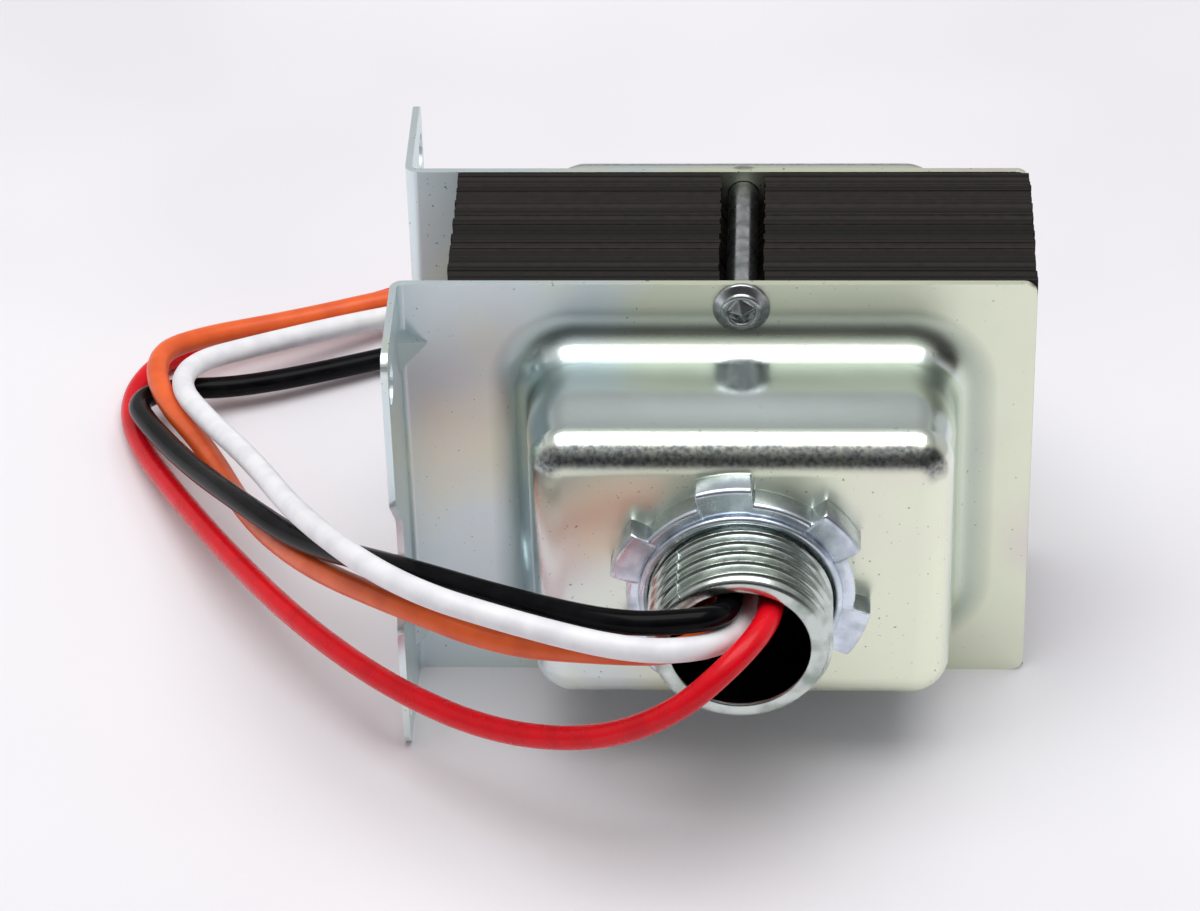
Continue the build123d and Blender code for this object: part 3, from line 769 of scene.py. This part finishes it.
@dataclass
class PrimaryLeads:
    """The four leads, in the photograph's order from the top of the bundle down."""

    leads: list[Lead] = field(
        default_factory=lambda: [
            Lead(
                "black_lead",
                VinylInsulation("black vinyl", Slot.BLACK, "#08080A", "#101013", 0.14, 0.06),
                [
                    (-1.5, -27.79, 5.4), (-1.5, -34.8, 5.4), (-0.7, -43.1, 5.6), (-4.3, -47.2, 7.3),
                    (-13.2, -46.6, 6.3), (-25.2, -39.9, 4.3), (-39.2, -31.5, 2.7), (-51.3, -15.4, -6.7),
                    (-60.2, -1.8, -11.0), (-69.1, 14.8, -17.5), (-76.1, 28.6, -21.2), (-78.7, 35.6, -23.0),
                    (-75.3, 39.4, -23.5), (-65.1, 41.3, -24.6), (-48.7, 49.0, -25.7), (-33.7, 56.5, -26.3),
                    (-19.7, 59.5, -26.3),
                ],
                (-1.0, -43.1, 6.1),
                205.5,
            ),
            Lead(
                "white_lead",
                VinylInsulation("white vinyl", Slot.WHITE, "#F0EFF2", "#E4E3E8", 0.34),
                [
                    (0.7, -27.79, 0.9), (0.7, -34.8, 0.9), (0.1, -43.2, 2.9), (-3.5, -48.7, 4.6),
                    (-11.7, -50.2, 5.4), (-24.2, -44.9, 4.9), (-38.1, -38.9, 5.5), (-51.2, -17.0, -1.8),
                    (-59.7, 5.2, -9.6), (-67.3, 21.5, -15.5), (-72.4, 32.3, -18.0), (-71.5, 41.2, -20.5),
                    (-64.7, 46.6, -21.9), (-51.7, 55.6, -24.2), (-36.7, 63.2, -26.1), (-21.7, 65.2, -26.35),
                ],
                (-0.1, -43.1, 3.1),
                206.5,
            ),
            Lead(
                "orange_lead",
                VinylInsulation("orange vinyl", Slot.ORANGE, "#EC6428", "#E05A26", 0.32),
                [
                    (-4.1, -27.79, 1.2), (-4.1, -34.8, 1.2), (-3.7, -42.3, 0.9), (-7.7, -45.7, 1.5),
                    (-15.7, -44.2, 0.5), (-26.7, -39.6, -2.2), (-38.9, -32.1, -2.5), (-50.9, -16.7, -9.0),
                    (-59.9, 0.6, -15.2), (-67.4, 20.1, -19.0), (-74.9, 33.5, -20.6), (-76.7, 42.2, -20.4),
                    (-72.8, 48.4, -21.9), (-59.7, 55.6, -23.9), (-46.7, 61.9, -24.5), (-33.7, 68.0, -26.0),
                    (-19.7, 71.0, -26.35),
                ],
                (-4.2, -43.1, 1.9),
                205.5,
            ),
            Lead(
                "red_lead",
                VinylInsulation("red vinyl", Slot.RED, "#E20F20", "#D00C1B", 0.22, 0.22),
                [
                    (3.3, -27.79, 4.2), (3.3, -35.2, 4.2), (3.7, -43.4, 4.9), (-0.5, -50.1, 3.8),
                    (-7.2, -51.8, -2.2), (-16.2, -48.6, -8.6), (-27.7, -42.6, -12.5), (-39.7, -33.2, -14.1),
                    (-51.7, -19.2, -15.9), (-62.5, -1.2, -19.3), (-71.5, 16.4, -23.0), (-78.3, 31.0, -25.9),
                    (-80.5, 41.2, -26.35), (-77.3, 50.0, -26.35), (-67.7, 55.4, -26.35),
                    (-53.7, 61.2, -26.35), (-41.7, 68.0, -26.35), (-29.7, 76.4, -26.35),
                    (-15.7, 80.0, -26.35),
                ],
                (3.5, -43.1, 5.2),
                236.5,
            ),
        ]
    )

    def build(self) -> None:
        """Lays every lead."""
        for lead in self.leads:
            lead.build()


@dataclass
class ConduitHub:
    """The nipple with its rolled half-inch conduit thread."""

    inner: float = 28.09
    neck: float = 29.59
    mouth: float = 43.09
    bore_r: float = 7.8
    flange_r: float = 12.6
    thread_r: float = 10.4
    pitch: float = 1.814
    depth: float = 0.42
    crest: float = 0.1
    chamfer: float = 1.0
    edge: float = 0.2
    seam_deg: float = 133.0
    seam_height: float = 0.16
    around: int = 320

    def profile(self) -> np.ndarray:
        """The section as (radius, distance along -Y, share of full thread depth) rows."""
        y = np.linspace(self.neck + 0.3, self.mouth - 0.25, 290)
        fade = np.clip((self.mouth - 0.2 - y) / 1.2, 0, 1) * np.clip((y - self.neck - 0.3) / 0.4, 0, 1)
        taper = self.thread_r - self.chamfer * np.clip((y - self.mouth + 1.3) / 1.3, 0, 1) ** 1.3
        body = np.stack([taper, y, fade], axis=-1)
        start = np.array(
            [
                (self.bore_r, self.inner, 0), (self.flange_r - self.edge, self.inner, 0),
                (self.flange_r, self.inner + self.edge, 0), (self.flange_r, self.neck - self.edge, 0),
                (self.flange_r - self.edge, self.neck, 0), (self.thread_r, self.neck, 0),
            ]
        )
        rim = self.thread_r - self.chamfer
        end = np.array(
            [
                (rim - 0.1, self.mouth - 0.06, 0), (rim - 0.25, self.mouth, 0),
                (self.bore_r + 0.4, self.mouth, 0), (self.bore_r + 0.1, self.mouth - 0.12, 0),
                (self.bore_r, self.mouth - 0.4, 0), (self.bore_r, self.mouth - 1.2, 0),
            ]
        )
        return np.concatenate([start, body, end])

    def build(self) -> None:
        """Turns the section about the axis and cuts the thread into it.

        At angle a and distance y, the phase is y over the pitch minus a over a full turn, and the
        groove is the depth times one less a bell curve of the distance from the nearest crest, so broad
        flat flanks meet in narrow round crests. Within a third of a degree of the seam, the die line
        stands a little proud of the flanks, and the section has rows of its own there.
        """
        section = self.profile()
        turn = np.linspace(0, 2 * np.pi, self.around, endpoint=False)
        line = math.radians(self.seam_deg) + np.radians([-0.5, -0.3, 0.3, 0.5])
        angle = np.sort(np.concatenate([turn, line]))[:, None]
        radius, y, share = section[:, 0][None], section[:, 1][None], section[:, 2][None]
        phase = (y / self.pitch - angle / (2 * np.pi)) % 1.0
        beside = np.minimum(phase, 1 - phase)
        groove = self.depth * share * (1 - np.exp(-((beside / self.crest) ** 2)))
        off = np.abs(np.degrees(angle) - self.seam_deg)
        r = radius - groove
        r += np.where((off < 0.4) & (share > 0), np.minimum(groove, self.seam_height), 0)
        turned_piece("threaded_hub", angle, r, y, HUB_ZINC, "conduit_hub", sharp=50)
        LOG.info("threaded the hub")


@dataclass
class Locknut:
    """The stamped six-lug locknut."""

    seat: float = 30.39
    thickness: float = 3.1
    bore_r: float = 10.45
    root_r: float = 12.9
    lug_r: float = 14.9
    lugs: int = 6
    lug_width: float = 6.6
    width_r: float = 14.304
    flank: float = 0.5
    turn_deg: float = 97.5
    edge_r: float = 0.55
    back_edge: float = 0.15
    bore_chamfer: float = 0.5
    dish: tuple[tuple[float, float], ...] = ((0.4, 0.08), (0.7, 0.03), (0.95, 0.0))
    lip_r: float = 0.5
    around: int = 720

    def outline(self, angle: np.ndarray) -> np.ndarray:
        """The outer radius: the root radius, raised to the lug radius within half a lug's width.

        The rise is the smooth step 3s^2 - 2s^3 of the share s of the flank.

        Args:
            angle: Angles about the hub's axis, in radians.

        Returns:
            The radius at each angle.
        """
        step = 2 * np.pi / self.lugs
        off = (angle - math.radians(self.turn_deg) + step / 2) % step - step / 2
        share = np.clip((self.lug_width / 2 - np.abs(off) * self.width_r) / self.flank + 0.5, 0, 1)
        return self.root_r + (self.lug_r - self.root_r) * share**2 * (3 - 2 * share)

    def build(self) -> None:
        """Carries the section round the axis between the bore and the outline.

        The section runs up the bore, over its chamfer, across the face, round a quarter circle of the
        edge radius, and down the wall. The face dishes by about a tenth of a millimetre towards the
        bore.
        """
        angle = np.linspace(0, 2 * np.pi, self.around, endpoint=False)[:, None]
        outer = self.outline(angle)
        bore = np.full_like(outer, self.bore_r)
        front, edge = self.seat + self.thickness, self.edge_r
        bend = np.linspace(0, np.pi / 2, 7)
        radii = [bore, bore, bore + self.bore_chamfer]
        radii += [bore + (outer - edge - bore) * share for share, _ in self.dish]
        radii += [outer - edge + edge * np.sin(bend)[None], outer, outer - self.back_edge]
        reach = [self.seat, front - self.bore_chamfer, front - 0.12]
        reach += [front - drop for _, drop in self.dish]
        reach += [*(front - edge + edge * np.cos(bend)), self.seat + self.back_edge, self.seat]
        section = np.concatenate(radii, axis=1)
        turned_piece("stamped_locknut", angle, section, np.array(reach), NUT_ZINC, "hub_locknut", sharp=42)
        self.lip()
        LOG.info("stamped the locknut")

    def lip(self) -> None:
        """Rolls the lip round the bore: a slightly flattened circle carried round the axis."""
        angle = np.linspace(0, 2 * np.pi, 180, endpoint=False)[:, None]
        bend = np.linspace(0, 2 * np.pi, 20, endpoint=False)
        radius = self.bore_r + self.lip_r + 0.05 + self.lip_r * np.cos(bend)
        reach = self.seat + self.thickness + self.lip_r * (0.5 + 0.9 * np.sin(bend))
        turned_piece("locknut_lip", angle, radius, reach, NUT_ZINC)


@dataclass
class StackRivet:
    """One semi-tubular rivet through covers and core."""

    node: str
    z: float
    flange_r: float = 3.25
    flange: float = 0.5
    roll_r: float = 1.95
    roll: float = 0.42
    roll_height: float = 0.75
    cup_floor: float = 0.18
    point: float = 1.15
    point_rise: float = 1.0
    shank_r: float = 1.75
    head: float = 1.7

    def build(self) -> None:
        """Turns the rivet's section, and raises a square point in the rolled end.

        From the middle out, the section is a flat cup with a pyramid, whose height falls with the larger
        of the two offsets from its axis, then a half circle for the roll, a thin flange, the shank, and
        a quarter circle for the head behind.
        """
        top = PLATE_OUT + self.flange
        floor = top + self.cup_floor
        arc = np.linspace(0, np.pi, 13)[1:-1]
        cup_r = np.linspace(0, self.roll_r - self.roll, 12)
        roll_r = self.roll_r - self.roll * np.cos(arc)
        roll_y = floor + (self.roll_height - self.cup_floor) * np.sin(arc) ** 0.8
        edge_r = self.flange_r - np.array([0.25, 0.07, 0.0, 0.0])
        edge_y = top - np.array([0.0, 0.06, 0.2, self.flange])
        turn = np.linspace(0, np.pi / 2, 10)
        dome_r = self.flange_r * np.cos(turn)
        dome_y = -PLATE_OUT - self.head * np.sin(turn)
        radius = np.concatenate([cup_r, roll_r, edge_r, [self.shank_r] * 2, dome_r])
        reach = np.concatenate([np.full(12, floor), roll_y, edge_y, [PLATE_OUT, -PLATE_OUT], dome_y])
        angle = np.linspace(0, 2 * np.pi, 96, endpoint=False)[:, None]
        across, up = radius * np.cos(angle + np.pi / 5), radius * np.sin(angle + np.pi / 5)
        rise = self.point_rise * np.clip(1 - np.maximum(np.abs(across), np.abs(up)) / self.point, 0, 1)
        reach = reach + np.where(np.arange(radius.size) < cup_r.size, rise, 0)
        name = self.node.replace("rivet", "rolled_rivet")
        turned_piece(name, angle, radius, reach, RIVET_ZINC, self.node, self.z, closed=False, sharp=35)
        LOG.info("set %s", name)


@dataclass
class Core:
    """The stack of E and I sheets, each a little out of line with its neighbours."""

    frame: Frame
    sheets: int = 35
    thin: float = 0.95
    drift: float = 0.1
    lift: float = 0.04
    seed: int = 11

    def build(self) -> None:
        """Copies the sheets and shuffles them.

        A triangle's sheet is found from its middle, stepped a tenth of a millimetre inwards along Y. Each
        sheet is thinned about its own middle, which leaves a dark gap, and slid along X and Z.
        """
        chance = np.random.default_rng(self.seed)
        outer = self.sheets * SHEET / 2
        for node in ("e_laminations", "i_laminations"):
            mesh = self.frame.nodes[node].data.copy()
            mesh.name = node.replace("laminations", "sheets")
            points = np.empty(len(mesh.vertices) * 3)
            mesh.vertices.foreach_get("co", points)
            points = points.reshape(-1, 3) / MM
            loops = np.empty(len(mesh.loops), dtype=np.int64)
            mesh.loops.foreach_get("vertex_index", loops)
            corners = loops.reshape(-1, 3)
            normals = np.empty(len(mesh.polygons) * 3)
            mesh.polygons.foreach_get("normal", normals)
            inwards = points[corners][..., 1].mean(axis=1) - 0.1 * normals.reshape(-1, 3)[:, 1]
            layer = np.clip(((outer - inwards) / SHEET).astype(int), 0, self.sheets - 1)
            owner = np.zeros(len(points), dtype=int)
            owner[corners] = layer[:, None]
            middle = outer - (owner + 0.5) * SHEET
            slide = chance.uniform(-1, 1, (self.sheets, 2)) * (self.drift, self.lift)
            points[:, 1] = middle + (points[:, 1] - middle) * self.thin
            points[:, 0] += slide[owner, 0]
            points[:, 2] += slide[owner, 1]
            mesh.vertices.foreach_set("co", (points * MM).ravel())
            mesh.update()
            put_on(mesh.name, mesh, CORE_VARNISH, node)
            LOG.info("stacked %s", mesh.name)


@dataclass
class DrawnPan:
    """The pan that a die draws out of a cover's plate, with its generous radii at the root and the rim.

    Its side says which way it is drawn, -1 towards the hub and 1 towards the terminals. Its opening is
    the half width, half height and height above the middle of the hole in its face. The feet of its
    outer and inner skins are sunk a little into the plate.
    """

    node: str
    side: int
    depth: float
    face_height: float
    opening: Point
    sheet: float = 0.8
    face_width: float = 47.5
    face_corner: float = 4.2
    root: float = 4.4
    rim: float = 3.8
    bulge: float = 0.27
    sink: float = 0.06
    inner_sink: float = 0.5

    def raised(self, flat: np.ndarray, height: float) -> np.ndarray:
        """Stands rows of (x, z) at a height over the plate, as rows of (x, height, z)."""
        return np.column_stack([flat[:, 0], np.full(len(flat), height), flat[:, 1]])

    def loop(self, width: float, height: float, radius: float) -> tuple[np.ndarray, np.ndarray]:
        """Walks round a rectangle with rounded corners.

        Each corner is a quarter circle in equal steps of angle, and each side is shared out evenly
        between the ends of its corners.

        Args:
            width: Its width.
            height: Its height.
            radius: The radius of its corners.

        Returns:
            The points and the outward directions, as rows of (x, z).
        """
        angle = np.radians(np.linspace(0, 90, 17))[None, :] + np.arange(4)[:, None] * np.pi / 2
        out = np.stack([np.cos(angle), np.sin(angle)], axis=-1)
        corner = np.array([(1, 1), (-1, 1), (-1, -1), (1, -1)]) * (width / 2 - radius, height / 2 - radius)
        arcs = corner[:, None, :] + radius * out
        share = np.linspace(0, 1, 16)[None, 1:-1, None]
        sides = arcs[:, -1:, :] * (1 - share) + np.roll(arcs[:, :1, :], -1, axis=0) * share
        straight = np.broadcast_to(out[:, -1:, :], sides.shape)
        points = np.concatenate([arcs, sides], axis=1).reshape(-1, 2)
        return points, np.concatenate([out, straight], axis=1).reshape(-1, 2)

    def skin(self, inset: float, root: float, rim: float) -> tuple[np.ndarray, np.ndarray]:
        """Works out the root and rim rounds of one skin of the sheet.

        At each point of the loop the wall rises from the foot to the face's edge, and meets the plate
        at an angle a. A round of radius r touches both at r / tan(a / 2) from the corner, with its
        centre on the bisector at r / sin(a / 2), and the turn is a great-circle mix of its two end
        radii. The rim is the same, turned over.

        Args:
            inset: How far the skin lies inside the outer one.
            root: The radius at the plate, or 0 for none.
            rim: The radius at the face.

        Returns:
            The rows of the root and of the rim, as points of (x, height over the plate, z).
        """
        width, height, radius = PAN_BASE
        foot, out = self.loop(width - 2 * inset, height - 2 * inset, radius - inset)
        top, _ = self.loop(
            self.face_width - 2 * inset, self.face_height - 2 * inset, self.face_corner - inset
        )
        low, high = self.raised(foot, 0.0), self.raised(top, self.depth - inset)
        flat = self.raised(out, 0.0)
        rise = high - low
        rise /= np.linalg.norm(rise, axis=1, keepdims=True)
        angle = np.arccos(np.sum(flat * rise, axis=1))[:, None]
        bisector = flat + rise
        bisector /= np.linalg.norm(bisector, axis=1, keepdims=True)
        turn = np.pi - angle
        share = (1 - np.cos(np.linspace(0, np.pi, 15)))[:, None, None] / 2
        first = np.sin((1 - share) * turn) / np.sin(turn)
        last = np.sin(share * turn) / np.sin(turn)

        def rounded(
            corner: np.ndarray, sign: int, radius: float, start: np.ndarray, end: np.ndarray
        ) -> np.ndarray:
            """Lays one round into a corner, from along start to along end."""
            reach = radius / np.tan(angle / 2)
            middle = corner + sign * bisector * radius / np.sin(angle / 2)
            begins, finishes = corner + start * reach, corner + end * reach
            return middle + first * (begins - middle) + last * (finishes - middle)

        return rounded(low, 1, root, flat, rise), rounded(high, -1, rim, -rise, -flat)

    def build(self, finish: Finish) -> None:
        """Closes the outer skin, the opening's rim and the inner skin into one sheet.

        Between its rounds the wall springs out by the bulge times the squared sine of half a turn.
        """
        root, rim = self.skin(0.0, self.root, self.rim)
        _, inner = self.skin(self.sheet, 0.0, self.rim - self.sheet)
        width, height, radius = PAN_BASE
        foot, _ = self.loop(width - 2 * self.sheet, height - 2 * self.sheet, radius - self.sheet)
        angle = np.arctan2(rim[-1][:, 2], rim[-1][:, 0])
        wide, tall, above = self.opening
        round_loop = np.column_stack([np.cos(angle), np.sin(angle)])
        hole = self.raised(round_loop * (wide, tall) + (0, above), self.depth)
        outward = self.raised(round_loop, 0.0)
        run = np.linspace(0, 1, 18)[1:-1, None, None]
        wall = root[-1] * (1 - run) + rim[0] * run + self.bulge * np.sin(np.pi * run) ** 2 * outward
        share = np.linspace(0, 1, 9)[1:, None, None]
        face = rim[-1] * (1 - share) + hole * share
        under = (root[0] - (0, self.sink, 0))[None]
        back = (hole - (0, self.sheet, 0))[None]
        inside = self.raised(foot, -self.inner_sink)[None]
        rows = np.concatenate([under, root, wall, rim, face, back, inner[::-1], inside])
        placed = np.stack(
            [CORE_X + rows[..., 0], self.side * (PLATE_OUT + rows[..., 1]), rows[..., 2]], axis=-1
        )
        faces = grid_faces(len(rows), rows.shape[1], True, True)
        mesh_piece(self.node.replace("cover", "drawn_pan"), placed, faces, finish, self.node)

    def cut_from(self, work: bmesh.types.BMesh) -> None:
        """Takes the plain pan out of a cover's copy and closes the hole that it leaves.

        Every face that stands past the plate's outside, clear of the foot, goes. The open edges that
        are left lie on the plate's outside, and are bridged.
        """
        plate, clear = PLATE_OUT * MM, FOOT_CLEAR * MM

        def past_plate(place: Vector) -> float:
            """How far a place stands past the plate's outside, in metres; none on the foot."""
            return self.side * place.y - plate if place.x > clear else -plate

        gone = [f for f in work.faces if past_plate(f.calc_center_median()) > 5e-6]
        bmesh.ops.delete(work, geom=gone, context="FACES")
        rim = [
            e for e in work.edges if e.is_boundary and all(abs(past_plate(v.co)) < 2e-5 for v in e.verts)
        ]
        bmesh.ops.bridge_loops(work, edges=rim)


@dataclass
class Covers:
    """The two drawn covers."""

    frame: Frame
    edge: float = 0.12
    pans: list[DrawnPan] = field(
        default_factory=lambda: [
            DrawnPan("front_cover", -1, 18.3, 36.2, (10.5, 10.5, 0.0), rim=4.2),
            DrawnPan("rear_cover", 1, 19.5, 34.4, (9.0, 3.0, -5.2)),
        ]
    )

    def build(self) -> None:
        """Presses each cover's plate and foot with its cut edges rounded, and draws its pan."""
        for pan in self.pans:
            name = pan.node.replace("cover", "drawn_cover")
            self.frame.softened_copy(pan.node, name, COVER_SHEET, self.edge, pan.cut_from)
            pan.build(COVER_SHEET)
            LOG.info("pressed %s", name)


@dataclass
class Coil:
    """The bobbin, its windings and tapes, and the wiring inside the pans."""

    frame: Frame

    def build(self) -> None:
        """Finishes every piece of the coil."""
        self.frame.dress(["bobbin"], NYLON)
        self.frame.dress(["primary_winding", "secondary_winding"], MAGNET_WIRE)
        self.frame.dress(["primary_tape", "secondary_tape"], PAPER_TAPE)
        self.frame.dress(["lead_bushing"], FIBRE)
        self.frame.dress(["lead_splices", "secondary_tails"], SLEEVING)


@dataclass
class SecondaryTerminals:
    """The terminal board on the rear pan."""

    frame: Frame

    def build(self) -> None:
        """Softens the board's edges and finishes its metal."""
        copy = self.frame.softened_copy
        copy("terminal_board", "moulded_board", PHENOLIC, 0.3)
        copy("terminal_plates", "brass_tabs", BRASS, 0.12)
        copy("terminal_screws", "binding_screws", NICKEL, 0.1)
        copy("board_eyelets", "rolled_eyelets", BRASS, 0.2)
        LOG.info("fitted the terminal board")


@dataclass
class Studio:
    """The floor, the light and the camera."""

    lens_mm: float = 134.19
    camera_mm: Point = (45.58, -429.01, 311.04)
    turns: Point = (0.0446212, -0.6349106, -0.0024381)

    def floor(self) -> None:
        """A wide white sheet under the part."""
        side = np.array([(-1, -1), (1, -1), (1, 1), (-1, 1)]) * 2500
        points = np.column_stack([side, np.full(4, FLOOR_Z)]) * MM
        mesh = bpy.data.meshes.new("paper")
        mesh.from_pydata(points.tolist(), [], [(0, 1, 2, 3)])
        mesh.materials.append(WhitePaper("white paper").material())
        paper = bpy.data.objects.new("paper", mesh)
        bpy.context.scene.collection.objects.link(paper)

    def area_light(
        self, name: str, at: Point, aim: Point, size: tuple[float, float], power: float
    ) -> None:
        """Hangs a soft box.

        Args:
            name: The lamp's name.
            at: Its place in metres.
            aim: The point that it faces, in metres.
            size: Its width and height in metres.
            power: Its power in watts.
        """
        lamp = bpy.data.lights.new(name, "AREA")
        lamp.shape = "RECTANGLE"
        lamp.size, lamp.size_y = size
        lamp.energy = power
        box = bpy.data.objects.new(name, lamp)
        box.location = at
        box.rotation_euler = (Vector(aim) - Vector(at)).to_track_quat("-Z", "Y").to_euler()
        bpy.context.scene.collection.objects.link(box)

    def world(self) -> None:
        """A room that is bright overhead and at the left, mid grey behind, and dim behind the camera.

        The brightness is a ramp over the height of the direction, one for the side behind the part and
        one for the camera's side, mixed by the direction's Y. The camera itself sees plain white.
        """
        world = bpy.data.worlds.new("room")
        bpy.context.scene.world = world
        world.use_nodes = True
        graph = Graph(world.node_tree)
        graph.tree.nodes.clear()
        x, y, z = graph.split(graph.add("ShaderNodeTexCoord").outputs["Generated"])
        back = graph.ramp(
            z, [(0.0, 0.6), (0.5, 0.6), (0.62, 0.36), (0.73, 0.42), (0.86, 0.62), (0.96, 1.0)]
        )
        front = graph.ramp(z, [(0.0, 0.3), (0.06, 0.05), (0.5, 0.05), (0.65, 0.4), (0.8, 0.8)])
        side = graph.span(y, -0.35, 0.25, interpolation_type="SMOOTHSTEP")
        window = graph.span(x, -0.5, -0.8, 0.0, 0.45)
        upper = graph.ramp(z, [(0.05, 0.0), (0.15, 1.0)])
        pane = graph.maths("MULTIPLY", window, upper)
        room = graph.mix(pane, graph.mix(side, front, back), (1, 1, 1, 1))
        light = graph.add("ShaderNodeBackground", {"Color": room, "Strength": 0.9}).outputs[0]
        white = graph.add("ShaderNodeBackground", {"Color": (1, 1, 1, 1), "Strength": 1.0}).outputs[0]
        seen = graph.add("ShaderNodeLightPath").outputs["Is Camera Ray"]
        both = graph.add("ShaderNodeMixShader", {0: seen, 1: light, 2: white}).outputs[0]
        graph.add("ShaderNodeOutputWorld", {"Surface": both})

    def camera(self) -> None:
        """The photograph's camera, turned about Z, then X, then Y, from a level look along +Y."""
        data = bpy.data.cameras.new("camera")
        data.lens = self.lens_mm
        data.sensor_width = 36.0
        data.sensor_fit = "HORIZONTAL"
        data.clip_start = 0.01
        camera = bpy.data.objects.new("camera", data)
        z, x, y = self.turns
        turn = Matrix.Rotation(y, 4, "Y") @ Matrix.Rotation(x, 4, "X") @ Matrix.Rotation(z, 4, "Z")
        place = Matrix.Translation(Vector(self.camera_mm) * MM)
        camera.matrix_world = place @ turn @ Matrix.Rotation(math.pi / 2, 4, "X")
        bpy.context.scene.collection.objects.link(camera)
        bpy.context.scene.camera = camera

    def build(self) -> None:
        """Sets the stage."""
        bpy.context.scene.view_settings.view_transform = "Standard"
        self.camera()
        self.floor()
        self.world()
        self.area_light("overhead", (0.03, -0.07, 0.78), (0.03, -0.0699, 0.0), (0.92, 0.6), 5.3)
        LOG.info("set the studio")


def main() -> None:
    """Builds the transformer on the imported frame."""
    logging.basicConfig(level=logging.INFO)
    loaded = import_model()
    frame = Frame(loaded["nodes"])
    Studio().build()
    PrimaryLeads().build()
    ConduitHub().build()
    Locknut().build()
    for node, z in (("top_rivet", 24.75), ("bottom_rivet", -24.75)):
        StackRivet(node, z).build()
    Core(frame).build()
    Covers(frame).build()
    Coil(frame).build()
    SecondaryTerminals(frame).build()


if __name__ == "__main__":
    main()
